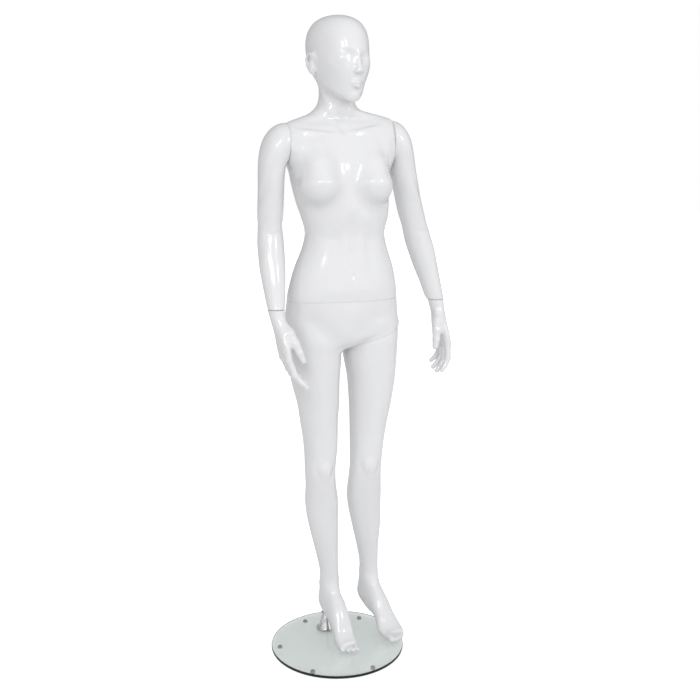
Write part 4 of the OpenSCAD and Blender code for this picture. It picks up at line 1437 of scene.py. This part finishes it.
def grain_group() -> bpy.types.NodeTree:
    """Builds the group that gives a surface its fine relief, stretched along one axis or even.

    Returns:
        The group.
    """
    group, make, source, target = node_group(
        "fine_relief", {"Scale": 300.0, "Stretch": 1.0, "Height": 0.0001},
        {"Normal": "NodeSocketVector", "Mask": "NodeSocketFloat"})
    coords = make.add("ShaderNodeTexCoord")
    stretch = make.add("ShaderNodeCombineXYZ", X=1.0, Y=1.0, Z=source.outputs["Stretch"])
    scaled = make.add("ShaderNodeVectorMath", operation="MULTIPLY")
    make.link(coords.outputs["Object"], scaled.inputs[0])
    make.link(stretch.outputs["Vector"], scaled.inputs[1])
    noise = make.add("ShaderNodeTexNoise", Vector=scaled.outputs["Vector"], Scale=source.outputs["Scale"],
                     Detail=2.0)
    bump = make.add("ShaderNodeBump", Height=noise.outputs["Fac"], Distance=source.outputs["Height"])
    make.link(bump.outputs["Normal"], target.inputs["Normal"])
    make.link(noise.outputs["Fac"], target.inputs["Mask"])
    return group


@dataclass(frozen=True)
class Finish:
    """A surface finish, made of a drifting colour, a roughness and a fine relief."""

    name: str
    light: tuple
    dark: tuple
    smooth: float
    rough: float
    mottle: float = 8.0
    grain: float = 300.0
    stretch: float = 1.0
    relief: float = 0.0001
    metallic: float = 0.0
    coat: float = 0.0
    transmission: float = 0.0
    ior: float = 1.5

    def material(self) -> bpy.types.Material:
        """Builds the material once and gives it back after that.

        Returns:
            The material.
        """
        found = bpy.data.materials.get(self.name)
        if found is not None:
            return found
        made = bpy.data.materials.new(self.name)
        made.use_nodes = True
        make = Sockets(made.node_tree)
        mottle = make.add("ShaderNodeGroup", node_tree=shared_group("soft_mottle", mottle_group))
        for key, value in (("Scale", self.mottle), ("Light", (*self.light, 1)), ("Dark", (*self.dark, 1)),
                           ("Smooth", self.smooth), ("Rough", self.rough)):
            mottle.inputs[key].default_value = value
        grain = make.add("ShaderNodeGroup", node_tree=shared_group("fine_relief", grain_group))
        for key, value in (("Scale", self.grain), ("Stretch", self.stretch), ("Height", self.relief)):
            grain.inputs[key].default_value = value
        shader = make.add("ShaderNodeBsdfPrincipled")
        make.link(self.tint(make, mottle), shader.inputs["Base Color"])
        make.link(mottle.outputs["Roughness"], shader.inputs["Roughness"])
        make.link(grain.outputs["Normal"], shader.inputs["Normal"])
        shader.inputs["Metallic"].default_value = self.metallic
        shader.inputs["Coat Weight"].default_value = self.coat
        shader.inputs["Coat Roughness"].default_value = 0.03
        shader.inputs["Transmission Weight"].default_value = self.transmission
        shader.inputs["IOR"].default_value = self.ior
        self.light_up(make, shader)
        out = make.add("ShaderNodeOutputMaterial")
        make.link(shader.outputs["BSDF"], out.inputs["Surface"])
        return made

    def tint(self, make: Sockets, mottle: bpy.types.Node) -> bpy.types.NodeSocket:
        """Gives the socket that the colour is read from."""
        return mottle.outputs["Color"]

    def light_up(self, make: Sockets, shader: bpy.types.Node) -> None:
        """Leaves the surface unlit; a finish that glows changes this."""

    def dress(self, piece: bpy.types.Object) -> None:
        """Puts the finish on every face of a piece.

        Args:
            piece: The object.
        """
        if not piece.material_slots:
            piece.data.materials.append(self.material())
        for slot in piece.material_slots:
            slot.link = "OBJECT"
            slot.material = self.material()


@dataclass(frozen=True)
class Glass(Finish):
    """Clear toughened glass, whose ground edge looks deep green."""

    edge_from: float = 0.1885
    edge_green: tuple = (0.05, 0.13, 0.1)

    def tint(self, make: Sockets, mottle: bpy.types.Node) -> bpy.types.NodeSocket:
        """Turns the colour to deep green past the rim of the disc.

        Args:
            make: The node adder of the material.
            mottle: The node that gives the drifting colour.

        Returns:
            The socket.
        """
        coords = make.add("ShaderNodeTexCoord")
        flat = make.add("ShaderNodeVectorMath", operation="MULTIPLY")
        make.link(coords.outputs["Object"], flat.inputs[0])
        flat.inputs[1].default_value = (1, 1, 0)
        reach = make.add("ShaderNodeVectorMath", operation="LENGTH")
        make.link(flat.outputs["Vector"], reach.inputs[0])
        edge = make.add("ShaderNodeMapRange", Value=reach.outputs["Value"])
        edge.inputs["From Min"].default_value = self.edge_from
        edge.inputs["From Max"].default_value = self.edge_from + 0.0012
        mix = make.add("ShaderNodeMix", data_type="RGBA")
        make.link(edge.outputs["Result"], mix.inputs["Factor"])
        make.link(mottle.outputs["Color"], mix.inputs[6])
        mix.inputs[7].default_value = (*self.edge_green, 1)
        return mix.outputs[2]


@dataclass(frozen=True)
class Backdrop(Finish):
    """A studio floor that is lit from below where it is looked at."""

    glow: float = 0.6

    def light_up(self, make: Sockets, shader: bpy.types.Node) -> None:
        """Lights the floor up for the eye, and not in what mirrors it.

        Args:
            make: The node adder of the material.
            shader: The surface shader.
        """
        path = make.add("ShaderNodeLightPath")
        seen = make.add("ShaderNodeMath", operation="MAXIMUM")
        make.link(path.outputs["Is Camera Ray"], seen.inputs[0])
        make.link(path.outputs["Is Transmission Ray"], seen.inputs[1])
        level_of = make.add("ShaderNodeMath", operation="MULTIPLY")
        make.link(seen.outputs["Value"], level_of.inputs[0])
        level_of.inputs[1].default_value = self.glow
        shader.inputs["Emission Color"].default_value = (1, 1, 1, 1)
        make.link(level_of.outputs["Value"], shader.inputs["Emission Strength"])


def shared_group(name: str, build: Callable) -> bpy.types.NodeTree:
    """Gives the named group, building it the first time."""
    return bpy.data.node_groups.get(name) or build()


WHITE = Finish("white_lacquer", (0.8, 0.802, 0.816), (0.78, 0.782, 0.8), 0.16, 0.24, mottle=5, grain=900,
               relief=0.00002, coat=1.0)
STEEL = Finish("zinc_steel", (0.62, 0.63, 0.65), (0.5, 0.51, 0.53), 0.26, 0.42, mottle=40, grain=700,
               stretch=0.1, relief=0.00004, metallic=1.0)
CHROME = Finish("bright_chrome", (0.72, 0.73, 0.73), (0.66, 0.67, 0.67), 0.03, 0.08, mottle=30, grain=900,
                relief=0.000004, metallic=1.0)
GLASS = Glass("toughened_glass", (0.72, 0.757, 0.746), (0.712, 0.75, 0.739), 0.0, 0.015, mottle=3, grain=60,
              relief=0.000004, transmission=1.0, ior=1.52)
CLEAR = Finish("clear_bumper", (0.98, 0.99, 0.988), (0.96, 0.98, 0.976), 0.0, 0.02, mottle=90, grain=900,
               relief=0.000002, transmission=1.0, ior=1.02)
RUBBER = Finish("black_rubber", (0.055, 0.058, 0.062), (0.035, 0.037, 0.04), 0.6, 0.8, mottle=60, grain=1600,
                relief=0.00012)


# ---- Stand -----------------------------------------------------------------------------------


def lathe(name: str, profile: list, centre: tuple = (0.0, 0.0), sides: int = 128) -> bpy.types.Object:
    """Turns a closed ring of profile points about an upright axis.

    Args:
        name: The piece's name.
        profile: Radius and height of each point, in millimetres, going round the section. A
            profile that starts and ends on the axis is closed with a pole at each end.
        centre: Where the axis stands.
        sides: Faces round the piece.

    Returns:
        A smooth-shaded object, sharp where the profile turns hard.
    """
    points = np.array(profile, float)
    open_ends = points[0][0] < 1e-6 and points[-1][0] < 1e-6
    angle = np.arange(sides) * math.tau / sides
    verts, rows = [], []
    for radius, height in points:
        if radius < 1e-6:
            rows.append([len(verts)] * sides)
            verts.append((centre[0], centre[1], height))
        else:
            rows.append(list(range(len(verts), len(verts) + sides)))
            verts += [(centre[0] + radius * math.cos(a), centre[1] + radius * math.sin(a), height)
                      for a in angle]
    faces = []
    pairs = list(zip(rows[:-1], rows[1:])) + ([] if open_ends else [(rows[-1], rows[0])])
    for low, high in pairs:
        for i in range(sides):
            j = (i + 1) % sides
            face = list(dict.fromkeys((low[i], low[j], high[j], high[i])))
            if len(face) > 2:
                faces.append(face)
    mesh = bpy.data.meshes.new(name)
    mesh.from_pydata([tuple(c * MM for c in v) for v in verts], [], faces)
    mesh.polygons.foreach_set("use_smooth", np.ones(len(mesh.polygons), bool))
    mesh.update()
    piece = bpy.data.objects.new(name, mesh)
    bpy.context.scene.collection.objects.link(piece)
    turned_out(mesh)
    mesh.set_sharp_from_angle(angle=math.radians(40))
    return piece


def turned_out(mesh: bpy.types.Mesh) -> None:
    """Turns every face of a closed mesh outwards.

    Args:
        mesh: The mesh.
    """
    work = bmesh.new()
    work.from_mesh(mesh)
    bmesh.ops.recalc_face_normals(work, faces=work.faces)
    work.to_mesh(mesh)
    work.free()


def rounded(points: list, radius: float, steps: int = 4) -> list:
    """Rounds off the inner corners of a profile.

    Args:
        points: The corners of the profile.
        radius: The largest radius that is used.
        steps: Intervals round each corner.

    Returns:
        The profile with an arc at each corner that is not an end.
    """
    out = [points[0]]
    for before, here, after in zip(points[:-2], points[1:-1], points[2:]):
        a, b, c = (np.array(p, float) for p in (before, here, after))
        reach = min(radius, 0.45 * np.linalg.norm(a - b), 0.45 * np.linalg.norm(c - b))
        start = b + (a - b) / max(np.linalg.norm(a - b), 1e-9) * reach
        end = b + (c - b) / max(np.linalg.norm(c - b), 1e-9) * reach
        for t in np.arange(steps + 1) / steps:
            out.append(tuple((1 - t) ** 2 * start + 2 * t * (1 - t) * b + t * t * end))
    out.append(points[-1])
    return out


def settled(piece: bpy.types.Object, node: str, body: str, finish: Finish) -> bpy.types.Object:
    """Dresses a new piece and puts it in the place of a CAD node.

    Args:
        piece: The new object.
        node: The CAD node that it stands for.
        body: The CAD body that it rides on.
        finish: What the piece is made of.

    Returns:
        The same object.
    """
    finish.dress(piece)
    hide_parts(node)
    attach(piece, body)
    LOG.info("%s: %d faces", piece.name, len(piece.data.polygons))
    return piece


@dataclass
class Stand:
    """The glass disc with its bumpers, and the chrome cone that holds the spigot."""

    disc_radius: float = 190.0
    glass: float = 8.0
    bumper_height: float = 6.0
    bumper_radius: float = 7.0
    bumper_ring: float = 166.0
    bumpers: int = 6
    cone_radius: float = 28.5
    cone_height: float = 58.0
    collar_radius: float = 8.5
    rod_radius: float = 5.0
    rod_top: float = 132.0

    def build(self) -> None:
        """Builds and dresses every piece of the stand."""
        self.disc()
        self.cone()
        self.rod()
        self.screw()
        self.bumper_set()

    def disc(self) -> None:
        """Makes the glass disc with its ground and polished edge."""
        r, low, high = self.disc_radius, self.bumper_height, self.bumper_height + self.glass
        bore = 6.5
        section = [(bore, low), (bore + 30, low), (r - 40, low), (r - 1.3, low), (r, low + 1.3),
                   (r, high - 1.3), (r - 1.3, high), (r - 40, high), (bore + 30, high), (bore, high)]
        piece = lathe("glass_disc_ground", rounded(section, 0.5), (0, 0), 192)
        self.shift_bore(piece, bore + 30, SPIGOT_AT)
        settled(piece, "glass_disc", "base", GLASS)

    def shift_bore(self, piece: bpy.types.Object, reach: float, to: tuple) -> None:
        """Moves the rings round the bore to where the cone stands.

        Args:
            piece: The disc.
            reach: The radius inside which the rings move fully.
            to: Where the bore goes.
        """
        mesh = piece.data
        co = np.empty(len(mesh.vertices) * 3)
        mesh.vertices.foreach_get("co", co)
        co = co.reshape(-1, 3)
        radius = np.hypot(co[:, 0], co[:, 1])
        share = np.clip((150 * MM - radius) / (150 - reach) / MM, 0, 1)[:, None]
        co[:, :2] += share * np.array(to) * MM
        mesh.vertices.foreach_set("co", co.ravel())
        mesh.update()

    def cone(self) -> None:
        """Makes the chrome cone with its rolled lip and its collar."""
        z = GLASS_TOP
        foot = z + 1.0
        r, top = self.cone_radius, z + self.cone_height
        waist = self.collar_radius + 0.6
        section = [(self.rod_radius + 0.05, foot), (r - 1.2, foot), (r, foot + 0.9), (r - 0.2, foot + 2.4),
                   (r - 3.0, foot + 2.9), (r - 4.2, foot + 4.2), (r - 7.2, foot + 10),
                   (r - 11.6, foot + 20), (waist + 4.6, foot + 34), (waist + 0.4, top - 12),
                   (self.collar_radius, top - 10), (self.collar_radius, top - 0.8),
                   (self.collar_radius - 0.8, top), (self.rod_radius + 0.05, top)]
        piece = lathe("cone_turned", rounded(section, 1.6, 5), SPIGOT_AT, 160)
        settled(piece, "chrome_cone", "base", CHROME)

    def rod(self) -> None:
        """Makes the spigot rod with its domed tip."""
        r, low, top = self.rod_radius - 0.02, GLASS_TOP + 20.0, GLASS_TOP + self.rod_top
        section = [(0, low), (r - 0.8, low), (r, low + 0.8), (r, top - 2.2), (r - 2.0, top), (0, top)]
        piece = lathe("spigot_turned", rounded(section, 0.8), SPIGOT_AT, 64)
        settled(piece, "spigot_rod", "spigot", CHROME)

    def screw(self) -> None:
        """Makes the set screw, whose head is knurled by a node tree."""
        cx, cy = SPIGOT_AT
        z = GLASS_TOP + self.cone_height - 6
        section = [(0, 0), (2, 0), (2, 4.4), (3.2, 4.5), (3.2, 8.3), (2.6, 8.7), (1.7, 8.7), (1.7, 6.4),
                   (0, 6.4)]
        core = lathe("set_screw_core", rounded(section, 0.3), (0, 0), 48)
        for vertex in core.data.vertices:
            side, ahead, along = vertex.co
            vertex.co = (cx * MM - (self.rod_radius + 0.1) * MM - along, cy * MM + ahead, z * MM + side)
        turned_out(core.data)
        ridges = Ribs("knurl", 20, 3.15 * MM, 0.55 * MM, 3.2 * MM).made(
            (cx * MM - (self.rod_radius + 6.4) * MM, cy * MM, z * MM), CHROME)
        joined_mesh = merged("set_screw_knurled", [core, ridges])
        settled(joined_mesh, "set_screw", "set_screw", CHROME)

    def bumper_set(self) -> None:
        """Sets the bumpers round the underside by a node tree."""
        r, high = self.bumper_radius, self.bumper_height
        section = [(0, 0.4), (r - 0.6, 0.4), (r, 1.2), (r - 0.7, 4.6), (r - 1.6, high), (0, high)]
        one = lathe("bumper_one", rounded(section, 0.9), (0, 0), 48)
        piece = Circlet("bumper_ring", self.bumpers, self.bumper_ring * MM, 45.0).made(one, CLEAR)
        settled(piece, "bumpers", "base", CLEAR)


def merged(name: str, pieces: list) -> bpy.types.Object:
    """Joins plain meshes into one object.

    Args:
        name: The new object's name.
        pieces: The objects, which are removed.

    Returns:
        The new object.
    """
    work = bmesh.new()
    for piece in pieces:
        work.from_mesh(piece.data)
    mesh = bpy.data.meshes.new(name)
    work.to_mesh(mesh)
    work.free()
    for piece in pieces:
        bpy.data.objects.remove(piece)
    out = bpy.data.objects.new(name, mesh)
    bpy.context.scene.collection.objects.link(out)
    return out


def new_tree(name: str, sizes: dict) -> tuple[bpy.types.NodeTree, Sockets, object, dict]:
    """Starts a geometry node tree with named sizes.

    Args:
        name: The tree's name.
        sizes: The name of each input and its value, or an object or a material.

    Returns:
        The tree, its node adder, its input node, and the identifier of each input.
    """
    tree = bpy.data.node_groups.new(name, "GeometryNodeTree")
    tree.interface.new_socket("Geometry", in_out="INPUT", socket_type="NodeSocketGeometry")
    kinds = {int: "NodeSocketInt", float: "NodeSocketFloat", bpy.types.Material: "NodeSocketMaterial",
             bpy.types.Object: "NodeSocketObject"}
    names = {}
    for key, value in sizes.items():
        kind = next(k for t, k in kinds.items() if isinstance(value, t))
        names[key] = tree.interface.new_socket(key, in_out="INPUT", socket_type=kind).identifier
    tree.interface.new_socket("Geometry", in_out="OUTPUT", socket_type="NodeSocketGeometry")
    make = Sockets(tree)
    return tree, make, make.add("NodeGroupInput"), names


def baked(name: str, host: bpy.types.Object, tree: bpy.types.NodeTree, names: dict,
          sizes: dict) -> bpy.types.Object:
    """Runs a tree on a host object and keeps the result as a plain mesh.

    Args:
        name: The new object's name.
        host: The object that carries the modifier, which is removed.
        tree: The node tree.
        names: The identifier of each input.
        sizes: The value of each input.

    Returns:
        The new object.
    """
    mod = host.modifiers.new(name, "NODES")
    mod.node_group = tree
    for key, value in sizes.items():
        mod[names[key]] = value
    dg = bpy.context.evaluated_depsgraph_get()
    mesh = bpy.data.meshes.new_from_object(host.evaluated_get(dg))
    mesh.name = name
    host.modifiers.clear()
    bpy.data.objects.remove(host)
    out = bpy.data.objects.new(name, mesh)
    bpy.context.scene.collection.objects.link(out)
    return out


@dataclass(frozen=True)
class Circlet:
    """Copies of one object set evenly round a ring by Geometry Nodes."""

    name: str
    count: int
    radius: float
    start: float

    def made(self, one: bpy.types.Object, finish: Finish) -> bpy.types.Object:
        """Sets the copies.

        Args:
            one: The object that is repeated, which is removed.
            finish: The finish of the copies.

        Returns:
            A plain mesh object.
        """
        sizes = {"Count": self.count, "Radius": self.radius, "Start": math.radians(self.start), "One": one,
                 "Finish": finish.material()}
        tree, make, source, names = new_tree(self.name, sizes)
        circle = make.add("GeometryNodeMeshCircle", Vertices=source.outputs["Count"],
                          Radius=source.outputs["Radius"])
        turn = make.add("ShaderNodeCombineXYZ", Z=source.outputs["Start"])
        placed = make.add("GeometryNodeTransform", Geometry=circle.outputs["Mesh"],
                          Rotation=turn.outputs["Vector"])
        info = make.add("GeometryNodeObjectInfo", Object=source.outputs["One"])
        spread = make.add("GeometryNodeInstanceOnPoints", Points=placed.outputs["Geometry"],
                          Instance=info.outputs["Geometry"])
        real = make.add("GeometryNodeRealizeInstances", Geometry=spread.outputs["Instances"])
        painted = make.add("GeometryNodeSetMaterial", Geometry=real.outputs["Geometry"],
                           Material=source.outputs["Finish"])
        out = make.add("NodeGroupOutput")
        make.link(painted.outputs["Geometry"], out.inputs["Geometry"])
        host = bpy.data.objects.new(self.name, bpy.data.meshes.new(self.name))
        bpy.context.scene.collection.objects.link(host)
        piece = baked(self.name, host, tree, names, sizes)
        bpy.data.objects.remove(one)
        return piece


@dataclass(frozen=True)
class Ribs:
    """Small ribs set round a head that lies along X, by Geometry Nodes."""

    name: str
    count: int
    radius: float
    thickness: float
    length: float

    def made(self, centre: tuple, finish: Finish) -> bpy.types.Object:
        """Sets the ribs round the given middle.

        Args:
            centre: The middle of the ring.
            finish: What the piece is made of.

        Returns:
            A plain mesh object.
        """
        sizes = {"Count": self.count, "Radius": self.radius, "Thickness": self.thickness,
                 "Length": self.length, "Finish": finish.material()}
        tree, make, source, names = new_tree(self.name, sizes)
        circle = make.add("GeometryNodeMeshCircle", Vertices=source.outputs["Count"],
                          Radius=source.outputs["Radius"])
        rib = make.add("GeometryNodeMeshCylinder", Vertices=6, Radius=source.outputs["Thickness"],
                       Depth=source.outputs["Length"])
        spread = make.add("GeometryNodeInstanceOnPoints", Points=circle.outputs["Mesh"],
                          Instance=rib.outputs["Mesh"])
        real = make.add("GeometryNodeRealizeInstances", Geometry=spread.outputs["Instances"])
        turned = make.add("GeometryNodeTransform", Geometry=real.outputs["Geometry"])
        turned.inputs["Rotation"].default_value = (0, math.pi / 2, 0)
        turned.inputs["Translation"].default_value = centre
        painted = make.add("GeometryNodeSetMaterial", Geometry=turned.outputs["Geometry"],
                           Material=source.outputs["Finish"])
        out = make.add("NodeGroupOutput")
        make.link(painted.outputs["Geometry"], out.inputs["Geometry"])
        host = bpy.data.objects.new(self.name, bpy.data.meshes.new(self.name))
        bpy.context.scene.collection.objects.link(host)
        return baked(self.name, host, tree, names, sizes)


# ---- Studio ----------------------------------------------------------------------------------


@dataclass(frozen=True)
class Softbox:
    """A square studio light that looks at a point."""

    name: str
    place: tuple
    aim: tuple
    size: float
    power: float

    def build(self) -> None:
        """Hangs the light."""
        data = bpy.data.lights.new(self.name, "AREA")
        data.shape, data.size, data.energy = "SQUARE", self.size, self.power
        light = bpy.data.objects.new(self.name, data)
        light.location = self.place
        light.rotation_euler = (Vector(self.aim) - Vector(self.place)).to_track_quat("-Z", "Y").to_euler()
        bpy.context.scene.collection.objects.link(light)


@dataclass(frozen=True)
class Studio:
    """The pale floor, the even room light and the camera."""

    camera_at: tuple = (-0.8648, -2.2391, 1.32)
    camera_turn: tuple = (79.5, 0.0, -22.0)
    lens: float = 45.93
    front: float = 1.09
    behind: float = 0.45
    floor_size: float = 60.0

    def build(self) -> None:
        """Sets up the floor, the lights and the camera."""
        self.floor()
        self.room_light()
        for light in (Softbox("key", (-1.35, -2.7, 2.5), (0.0, 0.0, 1.2), 0.34, 8),
                      Softbox("front", (-0.55, -3.0, 2.75), (0.0, 0.0, 1.2), 0.3, 7),
                      Softbox("side", (1.5, -2.5, 2.3), (0.0, 0.0, 1.0), 0.4, 5)):
            light.build()
        bpy.context.scene.view_settings.view_transform = "Standard"
        data = bpy.data.cameras.new("camera")
        data.lens, data.sensor_width = self.lens, 36.0
        camera = bpy.data.objects.new("camera", data)
        camera.location = self.camera_at
        camera.rotation_euler = tuple(math.radians(a) for a in self.camera_turn)
        bpy.context.scene.collection.objects.link(camera)
        bpy.context.scene.camera = camera

    def room_light(self) -> None:
        """Lights the room evenly, brightest from the front and pale wherever it is seen."""
        world = bpy.data.worlds.new("studio")
        world.use_nodes = True
        make = Sockets(world.node_tree)
        coords = make.add("ShaderNodeTexCoord")
        parts = make.add("ShaderNodeSeparateXYZ", Vector=coords.outputs["Generated"])
        side = make.add("ShaderNodeMapRange", Value=parts.outputs["Y"], interpolation_type="SMOOTHSTEP")
        for name, value in (("From Min", -1.0), ("From Max", 0.6), ("To Min", self.front),
                            ("To Max", self.behind)):
            side.inputs[name].default_value = value
        path = make.add("ShaderNodeLightPath")
        seen = make.add("ShaderNodeMix", data_type="FLOAT", Factor=path.outputs["Is Camera Ray"])
        make.link(side.outputs["Result"], seen.inputs[2])
        seen.inputs[3].default_value = 1.0
        sky = make.add("ShaderNodeBackground", Strength=seen.outputs[0])
        sky.inputs["Color"].default_value = (1.0, 1.0, 1.0, 1)
        out = make.add("ShaderNodeOutputWorld")
        make.link(sky.outputs["Background"], out.inputs["Surface"])
        bpy.context.scene.world = world

    def floor(self) -> None:
        """Lays the pale floor."""
        half = self.floor_size / 2
        mesh = bpy.data.meshes.new("floor")
        corners = [(-half, -half, 0), (half, -half, 0), (half, half, 0), (-half, half, 0)]
        mesh.from_pydata(corners, [], [(0, 1, 2, 3)])
        floor = bpy.data.objects.new("floor", mesh)
        bpy.context.scene.collection.objects.link(floor)
        Backdrop("pale_floor", (0.95, 0.95, 0.95), (0.94, 0.94, 0.94), 0.6, 0.7, mottle=0.5, grain=200,
                 relief=0.00002).dress(floor)


@dataclass(frozen=True)
class Hardware:
    """The steel fittings and the fasteners, which keep their own shapes."""

    steel: tuple = ("waist_top_plate", "waist_bottom_plate", "waist_stud", "right_shoulder_socket",
                    "left_shoulder_socket", "right_shoulder_plug", "left_shoulder_plug", "right_wrist_socket",
                    "left_wrist_socket", "right_wrist_plug", "left_wrist_plug", "thigh_socket", "thigh_plug",
                    "heel_socket", "base_washer")
    chrome: tuple = ("torso_screws", "right_arm_screws", "left_arm_screws", "lower_screws", "leg_screws",
                     "base_bolt")

    def dress(self) -> None:
        """Gives each fitting its finish."""
        for names, finish in ((self.steel, STEEL), (self.chrome, CHROME), (("gasket",), RUBBER)):
            for name in names:
                finish.dress(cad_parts[name])
        LOG.info("hardware: %d pieces", len(self.steel) + len(self.chrome) + 1)


def main() -> None:
    """Builds the mannequin, its stand and the studio."""
    logging.basicConfig(level=logging.INFO, format="%(name)s %(message)s")
    Studio().build()
    wrists = {side: arm_station(side.value, *rows[-1])[:3]
              for side, rows in ((Side.RIGHT, RIGHT_ARM), (Side.LEFT, LEFT_ARM))}
    figure = [
        Torso("torso", "torso", 2.5),
        LowerBody("lower_body", "hips", 2.5),
        LeftLeg("left_leg", "left_leg", 2.2),
        Arm("right_arm", "right_arm", 2.0, side=Side.RIGHT, rows=RIGHT_ARM),
        Arm("left_arm", "left_arm", 2.0, side=Side.LEFT, rows=LEFT_ARM),
        Hand("right_hand", "right_hand", 1.1, side=Side.RIGHT, wrist=wrists[Side.RIGHT],
             lean=(0.13, -0.2)),
        Hand("left_hand", "left_hand", 1.1, side=Side.LEFT, wrist=wrists[Side.LEFT],
             lean=(0.17, -0.1))]
    for part in figure:
        part.build(WHITE)
    Stand().build()
    Hardware().dress()


if __name__ == "__main__":
    main()
